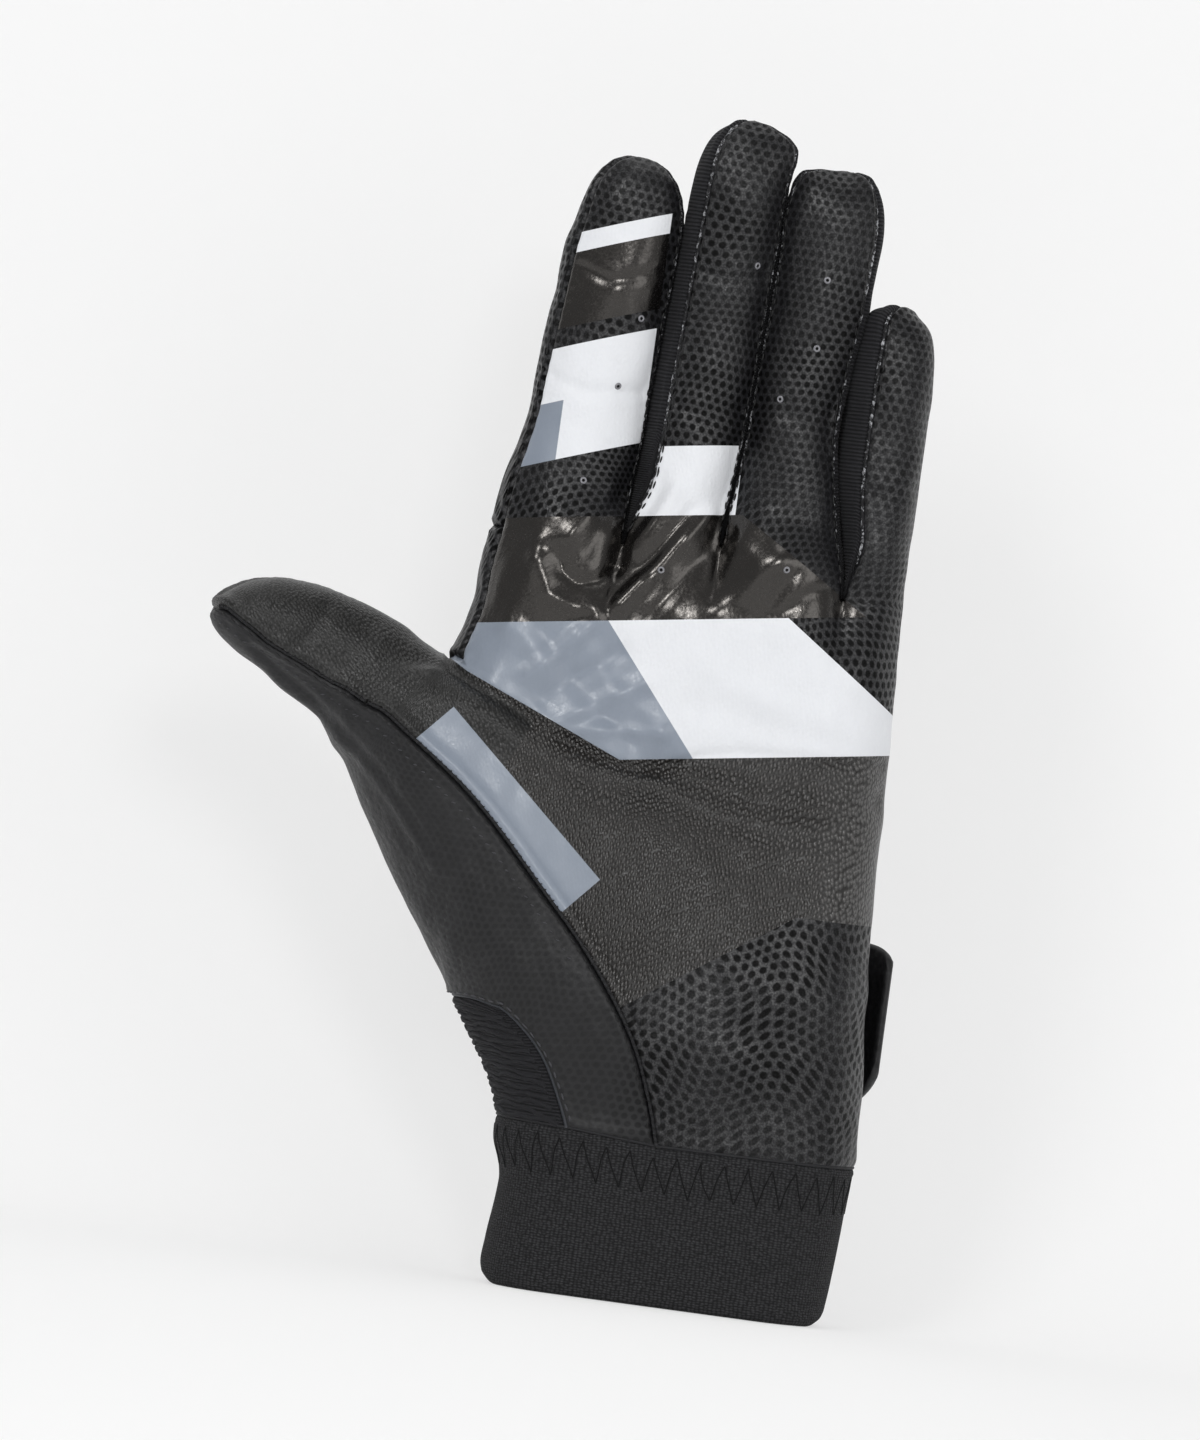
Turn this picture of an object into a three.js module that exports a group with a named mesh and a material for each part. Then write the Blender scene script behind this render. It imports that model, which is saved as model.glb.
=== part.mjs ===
// A left-hand batting glove, full as on a hand, built from its sewn panels.
// The glove stands up: fingers toward +Z, palm toward -Y, thumb toward -X.
// The origin is the middle of the wrist opening, at the lower edge of the cuff.
// All panels are faces of one skin: a mesh of rings round the cuff, the hand, the thumb and the
// fingers. Each panel takes its faces, draws back from its seams by half a gap and gets its wall.

import * as THREE from "three";

// Skin
const leatherThickness = 1.1;
const stretchThickness = 0.9;
const cuffThickness = 1.7;
const seamGap = 0.4;
const crotchGap = 1.6;

// Cuff
const cuffHeight = 30.5;
const cuffHemHeight = 5;
const cuffTapeHeight = 2.2;
const cuffWidth = 71;
const cuffWaistWidth = 68.6;
const cuffFrontDepth = 17.5;
const cuffBackDepth = 15;
const cuffCentreX = 0;

// Hand, from the cuff seam to the finger crotches
const palmWidth = 84;
const palmHeight = 119.5;
const palmFrontDepth = 14;
const palmBackDepth = 13.5;
const edgeRadius = 15;
const thenarRise = 6;
const thenarSpread = 17;
const heelRise = 2.5;
const heelSpread = 22;

// Outlines of the hand in the palm view. x is a share of palmWidth from the cuff's middle line,
// z a share of palmHeight above the cuff seam.
const thumbSideShares = [[-0.43, 0.015], [-0.45, 0.06], [-0.497, 0.12], [-0.568, 0.193], [-0.685, 0.317],
  [-0.8, 0.44], [-0.9, 0.56]];
const thumbSeamShares = [[-0.045, 0], [-0.07, 0.06], [-0.135, 0.17], [-0.26, 0.295], [-0.4, 0.4],
  [-0.594, 0.537], [-0.809, 0.648]];
const gussetSeamShares = [[-0.257, 0.012], [-0.285, 0.055], [-0.335, 0.12], [-0.405, 0.175], [-0.5, 0.245],
  [-0.62, 0.38], [-0.857, 0.601]];
const forkFrontShares = [[0.07, 0], [-0.02, 0.26], [-0.14, 0.48], [-0.36, 0.65], [-0.69, 0.765]];
const backSeamShares = [[-0.31, 0.005], [-0.34, 0.12], [-0.41, 0.26], [-0.53, 0.42], [-0.809, 0.648]];
const backGussetShares = [[-0.36, 0.01], [-0.4, 0.13], [-0.48, 0.26], [-0.6, 0.4], [-0.857, 0.601]];
const forkBackShares = [[-0.2, 0.005], [-0.24, 0.3], [-0.32, 0.52], [-0.48, 0.69], [-0.69, 0.765]];
const littleSideShares = [[0.433, 0.005], [0.427, 0.11], [0.411, 0.28], [0.397, 0.38], [0.391, 0.5],
  [0.389, 0.585]];
const indexSideShares = [[-0.69, 0.765], [-0.63, 0.99]];
const littleTopShares = [[0.389, 0.585], [0.366, 0.95]];
const crotchShares = [[-0.63, 0.99], [-0.316, 0.99], [-0.083, 1.01], [0.219, 0.945], [0.366, 0.95]];
const thenarLineShares = [[-0.12, 0.1], [-0.42, 0.38], [-0.72, 0.6]];
const heelShares = [0.24, 0.3];
const slitColumnShares = [0, 0.06, 0.12, 0.18, 0.24, 0.3, 0.36, 0.405, 0.49, 0.575, 0.62, 0.68, 0.74, 0.8,
  0.86, 0.92, 0.96, 1];

// Crotches between the fingers
const crotchFrontDepth = 7.5;
const crotchBackDepth = 7;
const crotchFade = 13;
const palmFade = 17;

// Thumb: an arc that starts square to the thumb root
const thumbRootAngle = 143;
const thumbBendAngle = 25;
const thumbLength = 44;
const thumbKnuckleAt = 16.5;
const thumbTipHalfWidth = 10.2;
const thumbRootDepth = 13.4;
const thumbTipDepth = 9.6;
const thumbDomeLength = 13;
const thumbTaperPower = 0.7;
const thumbFade = 15;
const thumbSpread = 9;
const thumbSeamAngle = 62;
const thumbBackSeamAngle = 214;

// Fingers
const fingerCurl = 5;
const domePower = 2.3;
const fingers = [
  { name: "index", knuckleX: -36.9, knuckleRise: 28, length: 76.5, lean: 4.6,
    knuckleHalfWidth: 11.7, tipHalfWidth: 10.9, baseDepth: 12, knuckleDepth: 10.2,
    tipDepth: 8.6, domeLength: 16 },
  { name: "middle", knuckleX: -14.9, knuckleRise: 27, length: 85, lean: 2.7,
    knuckleHalfWidth: 9.6, tipHalfWidth: 9.5, baseDepth: 12, knuckleDepth: 10.3,
    tipDepth: 8.7, domeLength: 16 },
  { name: "ring", knuckleX: 4.6, knuckleRise: 30, length: 80.5, lean: 3,
    knuckleHalfWidth: 9.2, tipHalfWidth: 9.4, baseDepth: 11.8, knuckleDepth: 10,
    tipDepth: 8.4, domeLength: 15 },
  { name: "pinky", knuckleX: 22.7, knuckleRise: 26, length: 59.5, lean: 0,
    knuckleHalfWidth: 8.2, tipHalfWidth: 7.9, baseDepth: 10.8, knuckleDepth: 9.2,
    tipDepth: 7.8, domeLength: 13 },
];

// Where the seams run round each finger, in degrees from its thumb side, over the palm side
const seamAngles = {
  index: { frontLeft: 33, frontRight: 166, backRight: 228, backLeft: 360 },
  middle: { frontLeft: 50, frontRight: 163, backRight: 228, backLeft: 312 },
  ring: { frontLeft: 17, frontRight: 152, backRight: 228, backLeft: 312 },
  pinky: { frontLeft: 66, frontRight: 180, backRight: 222, backLeft: 312 },
};

// Wrist strap with its hook and loop pads
const strapThickness = 1.8;
const strapHeight = 34;
const strapAboveCuff = 11.5;
const strapReachBeyondEdge = 1.4;
const strapHingeX = -23;
const strapRiseLength = 12;
const strapAnchorLength = 14;
const strapEndWidthShare = 0.35;
const strapEndTurn = 68;
const hookThickness = 0.9;
const loopThickness = 0.9;
const padGap = 0.45;
const padStartX = 15.5;
const hookPadLength = 15;
const hookPadHeight = 24;
const loopPadLength = 16;
const loopPadHeight = 27;
const tabLength = 13;
const tabHeight = 19;
const tabThickness = 1.3;
const tabInset = 4;
const strapHingeGap = 0.5;

// Mesh fineness, as counts
const fingerColumns = 4;
const sideColumns = 4;
const lowerHandRows = 9;
const gussetRows = 3;
const slitRows = 5;
const upperPalmRows = 5;
const flexRows = 1;
const cuffRows = 3;
const lowerFingerRows = 5;
const shaftRows = 3;
const domeRows = 4;
const thumbLowerRows = 3;
const thumbShaftRows = 2;
const thumbColumns = { gusset: 2, outer: 3, inner: 3 };
const slitColumns = { leftBinding: 6, rightBinding: 9 };
const strapColumns = 12;
const strapRows = 6;
const padColumns = 5;
const padRows = 4;

const charcoal = "#3a3a3d";
const blackStretch = "#1d1d1f";
const palmLeather = "#2b2a2a";

const degrees = Math.PI / 180;
const fullTurn = 360;

// Plane helpers. A plane point is [x, z], as in the palm view.
const mix = (a, b, share) => a + (b - a) * share;
const mixPoint = (a, b, share) => a.map((value, i) => mix(value, b[i], share));
const distance = (a, b) => Math.hypot(a[0] - b[0], a[1] - b[1]);
const smooth = (value) => {
  const share = Math.min(Math.max(value, 0), 1);
  return share * share * (3 - 2 * share);
};

// How wide a rounded tip still is at a share of its dome
const closingOf = (share) => Math.pow(Math.max(1 - Math.pow(share, domePower), 0), 1 / domePower);

// A line through points given as shares of the palm, read by a share of its length
function railFrom(shares) {
  const points = shares.map(([x, z]) => [cuffCentreX + x * palmWidth, cuffHeight + z * palmHeight]);
  const knots = points.map(([x, z]) => new THREE.Vector3(x, 0, z));
  const curve = new THREE.CatmullRomCurve3(knots, false, "centripetal");
  return {
    points,
    at: (share) => {
      const point = curve.getPointAt(Math.min(Math.max(share, 0), 1));
      return [point.x, point.z];
    },
  };
}

// The shortest way from a point to a chain of points
function distanceToChain(point, chain) {
  let nearest = Infinity;
  for (let i = 1; i < chain.length; i += 1) {
    const [a, b] = [chain[i - 1], chain[i]];
    const along = [b[0] - a[0], b[1] - a[1]];
    const lengthSquared = along[0] ** 2 + along[1] ** 2;
    const share = ((point[0] - a[0]) * along[0] + (point[1] - a[1]) * along[1]) / lengthSquared;
    nearest = Math.min(nearest, distance(point, mixPoint(a, b, Math.min(Math.max(share, 0), 1))));
  }
  return nearest;
}

const sampleRail = (rail, count) => Array.from({ length: count + 1 }, (_, i) => rail.at(i / count));

// How full the section is at a distance from the outline: a quarter circle, then level
function roundness(away, radius) {
  const share = Math.min(away / radius, 1);
  return Math.sqrt(share * (2 - share));
}

const rails = {
  thumbSide: railFrom(thumbSideShares),
  thumbSeam: railFrom(thumbSeamShares),
  gussetSeam: railFrom(gussetSeamShares),
  forkFront: railFrom(forkFrontShares),
  backSeam: railFrom(backSeamShares),
  backGusset: railFrom(backGussetShares),
  forkBack: railFrom(forkBackShares),
  littleSide: railFrom(littleSideShares),
  indexSide: railFrom(indexSideShares),
  littleTop: railFrom(littleTopShares),
};

// Thumb line
const fork = rails.forkFront.at(1);
const thumbFoot = rails.thumbSide.at(1);
const thumbRoot = mixPoint(thumbFoot, fork, 1 / 2);
const thumbHeading = (along) => (thumbRootAngle + thumbBendAngle * (along / thumbLength)) * degrees;
function thumbCentre(along) {
  const radius = thumbLength / (thumbBendAngle * degrees);
  const start = thumbHeading(0);
  const now = thumbHeading(along);
  return [
    thumbRoot[0] + radius * (Math.sin(now) - Math.sin(start)),
    thumbRoot[1] - radius * (Math.cos(now) - Math.cos(start)),
  ];
}

// The palm's outline in short steps, to measure how far a point lies inside it
const outlineSteps = 24;
const thumbSideChain = sampleRail(rails.thumbSide, outlineSteps);
const indexSideChain = sampleRail(rails.indexSide, outlineSteps);
const littleChain = [rails.littleSide, rails.littleTop].flatMap((rail) => sampleRail(rail, outlineSteps));

const thenarChain = railFrom(thenarLineShares).points;
const heelCentre = [heelShares[0] * palmWidth, cuffHeight + heelShares[1] * palmHeight];

// Fingers above the palm lean away from the palm's own middle plane
function middleY(z) {
  const above = (z - cuffHeight - palmHeight) / fingers[1].length;
  return above > 0 ? -fingerCurl * above * above : 0;
}

// Depth of the hand in front of and behind its middle plane, at a plane point
function handY(point, side) {
  const up = smooth((point[1] - cuffHeight) / (palmHeight / 2));
  const [cuffDepth, palmDepth] = side < 0
    ? [cuffFrontDepth, palmFrontDepth]
    : [cuffBackDepth, palmBackDepth];
  const depth = mix(cuffDepth, palmDepth, up);
  const fullness = roundness(distanceToChain(point, thumbSideChain), edgeRadius)
    * roundness(distanceToChain(point, indexSideChain), edgeRadius)
    * roundness(distanceToChain(point, littleChain), edgeRadius);
  let pads = 0;
  if (side < 0) {
    const away = distanceToChain(point, thenarChain) / thenarSpread;
    const heelAway = distance(point, heelCentre) / heelSpread;
    pads = thenarRise * Math.exp(-away * away) + heelRise * Math.exp(-heelAway * heelAway);
  }
  const rising = smooth((point[1] - cuffHeight) / cuffHeight);
  return side * (depth * fullness + pads * fullness * rising);
}

// The skin: shared points, and faces that each belong to one panel
const skin = { points: [], faces: [] };
function addPoint(x, y, z) {
  skin.points.push(new THREE.Vector3(x, y, z));
  return skin.points.length - 1;
}
function addTriangle(a, b, c, panel) {
  if (a !== b && b !== c && c !== a) skin.faces.push({ corners: [a, b, c], panel });
}
function addBand(low, high, panelOf) {
  const count = low.length;
  for (let i = 0; i < count; i += 1) {
    const next = (i + 1) % count;
    const panel = panelOf(i);
    addTriangle(low[i], low[next], high[next], panel);
    addTriangle(low[i], high[next], high[i], panel);
  }
}

// Columns that crowd toward the outline at their first end
const crowdStart = (count) => (
  Array.from({ length: count + 1 }, (_, i) => 1 - Math.cos((i / count) * Math.PI / 2))
);
const evenly = (count) => Array.from({ length: count + 1 }, (_, i) => i / count);

// Finger rings
function fingerFrame(finger, index) {
  const crotchPoint = ([x, z]) => [x * palmWidth, cuffHeight + z * palmHeight];
  const baseLeft = crotchPoint(crotchShares[index]);
  const baseRight = crotchPoint(crotchShares[index + 1]);
  const baseCentre = mixPoint(baseLeft, baseRight, 1 / 2);
  const knuckle = [finger.knuckleX, baseCentre[1] + finger.knuckleRise];
  const up = [Math.sin(finger.lean * degrees), Math.cos(finger.lean * degrees)];
  const across = [up[1], -up[0]];
  const top = baseCentre[1] + finger.length;
  const shaft = (top - knuckle[1]) / up[1];
  return { ...finger, baseLeft, baseRight, baseCentre, knuckle, up, across, shaft };
}
const frames = fingers.map(fingerFrame);

// One section of a finger: its two outline points, its depth and its middle
function fingerSection(frame, along) {
  const place = (share) => [
    frame.knuckle[0] + frame.up[0] * share,
    frame.knuckle[1] + frame.up[1] * share,
  ];
  if (along < 0) {
    const share = 1 + along / frame.knuckleRise;
    const eased = smooth(share);
    const kneeLeft = frame.across.map((value, i) => frame.knuckle[i] - value * frame.knuckleHalfWidth);
    const kneeRight = frame.across.map((value, i) => frame.knuckle[i] + value * frame.knuckleHalfWidth);
    const left = mixPoint(frame.baseLeft, kneeLeft, share);
    const right = mixPoint(frame.baseRight, kneeRight, share);
    left[0] = mix(frame.baseLeft[0], kneeLeft[0], eased);
    right[0] = mix(frame.baseRight[0], kneeRight[0], eased);
    return { left, right, depth: mix(frame.baseDepth, frame.knuckleDepth, share) };
  }
  const share = along / frame.shaft;
  const domeStart = frame.shaft - frame.domeLength;
  const domeShare = Math.max((along - domeStart) / frame.domeLength, 0);
  const closing = closingOf(domeShare);
  const halfWidth = mix(frame.knuckleHalfWidth, frame.tipHalfWidth, share) * closing;
  const centre = place(along);
  return {
    left: frame.across.map((value, i) => centre[i] - value * halfWidth),
    right: frame.across.map((value, i) => centre[i] + value * halfWidth),
    depth: mix(frame.knuckleDepth, frame.tipDepth, share) * closing,
  };
}

function sectionPoint(section, angle) {
  const share = (1 - Math.cos(angle * degrees)) / 2;
  const [x, z] = mixPoint(section.left, section.right, share);
  return new THREE.Vector3(x, middleY(z) - section.depth * Math.sin(angle * degrees), z);
}

// The ring of one finger, as angles with the panel that each step belongs to
function ringPlan(frame) {
  const seam = seamAngles[frame.name];
  const steps = [];
  const span = (from, to, count, panel) => {
    for (let i = 0; i < count; i += 1) steps.push({ angle: mix(from, to, i / count), panel });
  };
  span(seam.frontLeft, seam.frontRight, fingerColumns, "front");
  if (frame.name === "pinky") span(seam.frontRight, seam.backRight, 1, "front");
  else span(seam.frontRight, seam.backRight, sideColumns, "right");
  span(seam.backRight, seam.backLeft, fingerColumns, "back");
  if (frame.name === "index") span(seam.backLeft, fullTurn + seam.frontLeft, 1, "back");
  else span(seam.backLeft, fullTurn + seam.frontLeft, sideColumns, "left");
  return steps;
}

// The web between two fingers, from the palm side to the back
function webPoints(index) {
  const [x, z] = crotchShares[index + 1];
  const place = [x * palmWidth, cuffHeight + z * palmHeight];
  return evenly(sideColumns).map((share) => (
    new THREE.Vector3(place[0], mix(-crotchFrontDepth, crotchBackDepth, share), place[1])
  ));
}
const webs = fingers.slice(1).map((_, index) => webPoints(index));
const webIds = webs.map((web) => web.map((point) => addPoint(point.x, point.y, point.z)));

// The foot of each finger: its section, moved so that the seams meet in the crotches
const still = new THREE.Vector3();
function fingerFoot(frame, index) {
  const base = fingerSection(frame, -frame.knuckleRise);
  const plan = ringPlan(frame);
  const leftWeb = webs[index - 1];
  const rightWeb = webs[index];
  const toWeb = (web, place, angle) => (web ? web[place].clone().sub(sectionPoint(base, angle)) : still);
  const seam = seamAngles[frame.name];
  const shifts = [];
  const ids = [];
  const between = (from, to, count) => {
    for (let i = 0; i < count; i += 1) shifts.push(from.clone().lerp(to, i / count));
  };
  between(toWeb(leftWeb, 0, seam.frontLeft), toWeb(rightWeb, 0, seam.frontRight), fingerColumns);
  if (rightWeb) {
    for (let i = 0; i < sideColumns; i += 1) shifts.push(toWeb(rightWeb, i, plan[shifts.length].angle));
  } else shifts.push(still);
  const backRightShift = toWeb(rightWeb, sideColumns, seam.backRight);
  between(backRightShift, toWeb(leftWeb, sideColumns, seam.backLeft), fingerColumns);
  if (leftWeb) {
    for (let i = 0; i < sideColumns; i += 1) {
      shifts.push(toWeb(leftWeb, sideColumns - i, plan[shifts.length].angle));
    }
  } else shifts.push(still);
  plan.forEach((step, i) => {
    const backStart = fingerColumns + (rightWeb ? sideColumns : 1);
    const backEnd = backStart + fingerColumns;
    let id = -1;
    if (rightWeb && i >= fingerColumns && i <= backStart) id = webIds[index][i - fingerColumns];
    if (leftWeb && i >= backEnd) id = webIds[index - 1][sideColumns - (i - backEnd)];
    if (leftWeb && i === 0) id = webIds[index - 1][0];
    if (id < 0) {
      const point = sectionPoint(base, step.angle).add(shifts[i]);
      id = addPoint(point.x, point.y, point.z);
    }
    ids.push(id);
  });
  return { plan, shifts, ids };
}
const feet = frames.map(fingerFoot);

// The fingers, from the crotches to the tips
function panelOfFinger(frame, index, panel, aboveKnuckle) {
  if (aboveKnuckle) return `${frame.name}_tip_${panel}`;
  if (panel === "front") return "palm_panel";
  if (panel === "back") return `${frame.name}_back`;
  const [a, b] = panel === "right" ? [index, index + 1] : [index - 1, index];
  return `${fingers[a].name}_${fingers[b].name}_fourchette`;
}

function buildFinger(frame, index) {
  const { plan, shifts, ids } = feet[index];
  const stations = [];
  for (let i = 1; i <= lowerFingerRows; i += 1) {
    stations.push(frame.knuckleRise * (i / lowerFingerRows - 1));
  }
  const domeStart = frame.shaft - frame.domeLength;
  for (let i = 1; i <= shaftRows; i += 1) stations.push(domeStart * (i / shaftRows));
  for (let i = 1; i < domeRows; i += 1) {
    stations.push(domeStart + frame.domeLength * Math.sin((i / domeRows) * Math.PI / 2));
  }
  let low = ids;
  stations.forEach((along, row) => {
    const section = fingerSection(frame, along);
    const fade = 1 - smooth((along + frame.knuckleRise) / crotchFade);
    const ring = plan.map((step, i) => {
      const point = sectionPoint(section, step.angle).addScaledVector(shifts[i], fade);
      return addPoint(point.x, point.y, point.z);
    });
    addBand(low, ring, (i) => panelOfFinger(frame, index, plan[i].panel, row >= lowerFingerRows));
    low = ring;
  });
  const end = sectionPoint(fingerSection(frame, frame.shaft), 0);
  const pole = addPoint(end.x, end.y, end.z);
  addBand(low, plan.map(() => pole), (i) => panelOfFinger(frame, index, plan[i].panel, true));
}
frames.forEach(buildFinger);

// The ring at the foot of the fingers: over the palm side from the index to the little finger,
// then back over the other side
const [indexFoot, middleFoot, ringFoot, littleFoot] = feet;
const backSteps = (foot, sides) => foot.ids.slice(fingerColumns + sides + 1, fingerColumns * 2 + sides + 1);
const crotchFront = [
  indexFoot.ids[indexFoot.ids.length - 1],
  ...indexFoot.ids.slice(0, fingerColumns + 1),
  ...middleFoot.ids.slice(1, fingerColumns + 1),
  ...ringFoot.ids.slice(1, fingerColumns + 1),
  ...littleFoot.ids.slice(1, fingerColumns + 1),
];
const crotchBack = [
  crotchFront[crotchFront.length - 1],
  littleFoot.ids[fingerColumns + 1],
  ...backSteps(littleFoot, 1),
  ...backSteps(ringFoot, sideColumns),
  ...backSteps(middleFoot, sideColumns),
  ...backSteps(indexFoot, sideColumns),
];
const planeOf = (id) => [skin.points[id].x, skin.points[id].z];
const leftEdgeX = skin.points[crotchFront[0]].x;
const rightEdgeX = skin.points[crotchBack[0]].x;
const acrossShare = (id) => (skin.points[id].x - leftEdgeX) / (rightEdgeX - leftEdgeX);
const frontShares = crotchFront.map(acrossShare);
const backShares = crotchBack.map(acrossShare);

// The lower hand, from the cuff seam to the fork where the thumb leaves it
const thumbColumnCount = thumbColumns.gusset + thumbColumns.outer + thumbColumns.inner;

function lowerHandRow(row) {
  const along = row / lowerHandRows;
  const at = (rail) => rail.at(along);
  const foot = at(rails.thumbSide);
  const edge = at(rails.littleSide);
  const strip = (from, to, shares) => shares.slice(1).map((share) => mixPoint(from, to, share));
  const front = [
    foot,
    ...strip(foot, at(rails.gussetSeam), crowdStart(thumbColumns.gusset)),
    ...strip(at(rails.gussetSeam), at(rails.thumbSeam), evenly(thumbColumns.outer)),
    ...strip(at(rails.thumbSeam), at(rails.forkFront), evenly(thumbColumns.inner)),
    ...strip(at(rails.forkFront), edge, frontShares),
  ];
  const slitShares = slitColumnShares.map((share, i) => (
    mix(share, backShares[backShares.length - 1 - i], along)
  ));
  const back = [
    foot,
    ...strip(foot, at(rails.backGusset), crowdStart(thumbColumns.gusset)),
    ...strip(at(rails.backGusset), at(rails.backSeam), evenly(thumbColumns.outer)),
    ...strip(at(rails.backSeam), at(rails.forkBack), evenly(thumbColumns.inner)),
    ...strip(at(rails.forkBack), edge, slitShares),
  ].reverse();
  const last = front.length - 1;
  const isFork = (place) => row === lowerHandRows && place === thumbColumnCount;
  const frontIds = front.map(([x, z], i) => (
    addPoint(x, i === 0 || i === last || isFork(i) ? 0 : handY([x, z], -1), z)
  ));
  const backIds = back.map(([x, z], i) => {
    if (i === 0) return frontIds[last];
    if (i === last) return frontIds[0];
    if (isFork(last - i)) return frontIds[thumbColumnCount];
    return addPoint(x, handY([x, z], 1), z);
  });
  return { front: frontIds, back: backIds };
}
const handRows = Array.from({ length: lowerHandRows + 1 }, (_, row) => lowerHandRow(row));
const ringOf = (row) => [...row.front.slice(0, -1), ...row.back.slice(0, -1)];
const columnCount = handRows[0].front.length - 1;

function panelInSlit(place) {
  const column = place - thumbColumnCount;
  if (column === slitColumns.leftBinding) return "slit_binding_left";
  if (column === slitColumns.rightBinding) return "slit_binding_right";
  if (column > slitColumns.leftBinding && column < slitColumns.rightBinding) return "wrist_gusset";
  return null;
}

function panelOfHand(step, row) {
  if (step < columnCount) {
    if (step < thumbColumns.gusset && row < gussetRows) return "thumb_mesh_gusset";
    return step < thumbColumns.gusset + thumbColumns.outer ? "thumb_outer_panel" : "palm_panel";
  }
  const place = columnCount * 2 - 1 - step;
  if (place < thumbColumns.gusset && row < gussetRows) return "thumb_mesh_gusset";
  if (place < thumbColumns.gusset + thumbColumns.outer) return "thumb_outer_panel";
  if (place === columnCount - 1) return "palm_panel";
  return (row < slitRows && panelInSlit(place)) || "back_panel";
}
for (let row = 0; row < lowerHandRows; row += 1) {
  addBand(ringOf(handRows[row]), ringOf(handRows[row + 1]), (step) => panelOfHand(step, row));
}

// The upper palm, from the fork to the finger crotches
const forkRow = handRows[lowerHandRows];
const forkFrontIds = forkRow.front.slice(thumbColumnCount);
const forkBackIds = forkRow.back.slice(0, forkRow.back.length - thumbColumnCount);

function upperPalmRow(row) {
  const along = row / upperPalmRows;
  const place = (from, to, side) => {
    const plane = mixPoint(planeOf(from), planeOf(to), along);
    const below = distance(plane, planeOf(to));
    const near = 1 - smooth(below / palmFade);
    return addPoint(plane[0], mix(handY(plane, side), skin.points[to].y, near), plane[1]);
  };
  const edgePlace = (from, to) => {
    const plane = mixPoint(planeOf(from), planeOf(to), along);
    return addPoint(plane[0], 0, plane[1]);
  };
  const last = forkFrontIds.length - 1;
  const left = edgePlace(forkFrontIds[0], crotchFront[0]);
  const right = edgePlace(forkFrontIds[last], crotchFront[last]);
  const inner = (fromIds, toIds, side) => (
    fromIds.slice(1, -1).map((id, i) => place(id, toIds[i + 1], side))
  );
  const front = inner(forkFrontIds, crotchFront, -1);
  const back = inner(forkBackIds, [...crotchBack, left], 1);
  return [left, ...front, right, ...back];
}
const palmRings = [[...forkFrontIds.slice(0, -1), ...forkBackIds.slice(0, -1)]];
for (let row = 1; row < upperPalmRows; row += 1) palmRings.push(upperPalmRow(row));
palmRings.push([...crotchFront.slice(0, -1), ...crotchBack]);
const palmColumnCount = crotchFront.length - 1;
for (let row = 0; row < upperPalmRows; row += 1) {
  addBand(palmRings[row], palmRings[row + 1], (step) => {
    if (step > 0 && step <= palmColumnCount) return "palm_panel";
    return row >= upperPalmRows - flexRows ? "knuckle_flex_panel" : "back_panel";
  });
}

// The thumb, from its root to its tip
const thumbRing = [
  ...forkRow.front.slice(0, thumbColumnCount),
  ...forkRow.back.slice(forkRow.back.length - 1 - thumbColumnCount, -1),
];
const rootWidth = distance(thumbFoot, fork);
const rootAngles = thumbRing.map((id, i) => {
  const share = Math.min(distance(planeOf(id), thumbFoot) / rootWidth, 1);
  const angle = Math.acos(1 - 2 * share) / degrees;
  return i <= thumbColumnCount ? angle : fullTurn - angle;
});
const outerCount = thumbColumns.gusset + thumbColumns.outer;
const thumbAngles = thumbRing.map((_, i) => {
  if (i <= outerCount) return thumbSeamAngle * (i / outerCount);
  if (i <= thumbColumnCount) {
    return mix(thumbSeamAngle, fullTurn / 2, (i - outerCount) / thumbColumns.inner);
  }
  const share = (i - thumbColumnCount - 1) / (thumbColumnCount - 1);
  return mix(thumbBackSeamAngle, fullTurn, share);
});

function thumbSection(along) {
  const share = along / thumbLength;
  const domeShare = Math.max((along - thumbLength + thumbDomeLength) / thumbDomeLength, 0);
  const closing = closingOf(domeShare);
  const centre = thumbCentre(along);
  const heading = thumbHeading(along);
  const across = [Math.sin(heading), -Math.cos(heading)];
  const narrowing = Math.pow(share, thumbTaperPower);
  const halfWidth = mix(rootWidth / 2, thumbTipHalfWidth, narrowing) * closing;
  return {
    left: across.map((value, i) => centre[i] - value * halfWidth),
    right: across.map((value, i) => centre[i] + value * halfWidth),
    depth: mix(thumbRootDepth, thumbTipDepth, narrowing) * closing,
    middle: -thumbSpread * smooth(share),
  };
}
function thumbPoint(section, angle) {
  const [x, z] = mixPoint(section.left, section.right, (1 - Math.cos(angle * degrees)) / 2);
  return new THREE.Vector3(x, section.middle - section.depth * Math.sin(angle * degrees), z);
}
const thumbRootSection = thumbSection(0);
const thumbShifts = thumbRing.map((id, i) => (
  skin.points[id].clone().sub(thumbPoint(thumbRootSection, rootAngles[i]))
));
function panelOfThumb(step, aboveKnuckle) {
  const inner = step >= outerCount && step <= thumbColumnCount;
  if (aboveKnuckle) return inner ? "thumb_tip_front" : "thumb_tip_outer";
  return inner ? "palm_panel" : "thumb_outer_panel";
}
const thumbStations = [];
for (let i = 1; i <= thumbLowerRows; i += 1) thumbStations.push(thumbKnuckleAt * (i / thumbLowerRows));
const thumbDomeStart = thumbLength - thumbDomeLength;
for (let i = 1; i <= thumbShaftRows; i += 1) {
  thumbStations.push(mix(thumbKnuckleAt, thumbDomeStart, i / thumbShaftRows));
}
for (let i = 1; i < domeRows; i += 1) {
  thumbStations.push(thumbDomeStart + thumbDomeLength * Math.sin((i / domeRows) * Math.PI / 2));
}
let lowRing = thumbRing;
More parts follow.
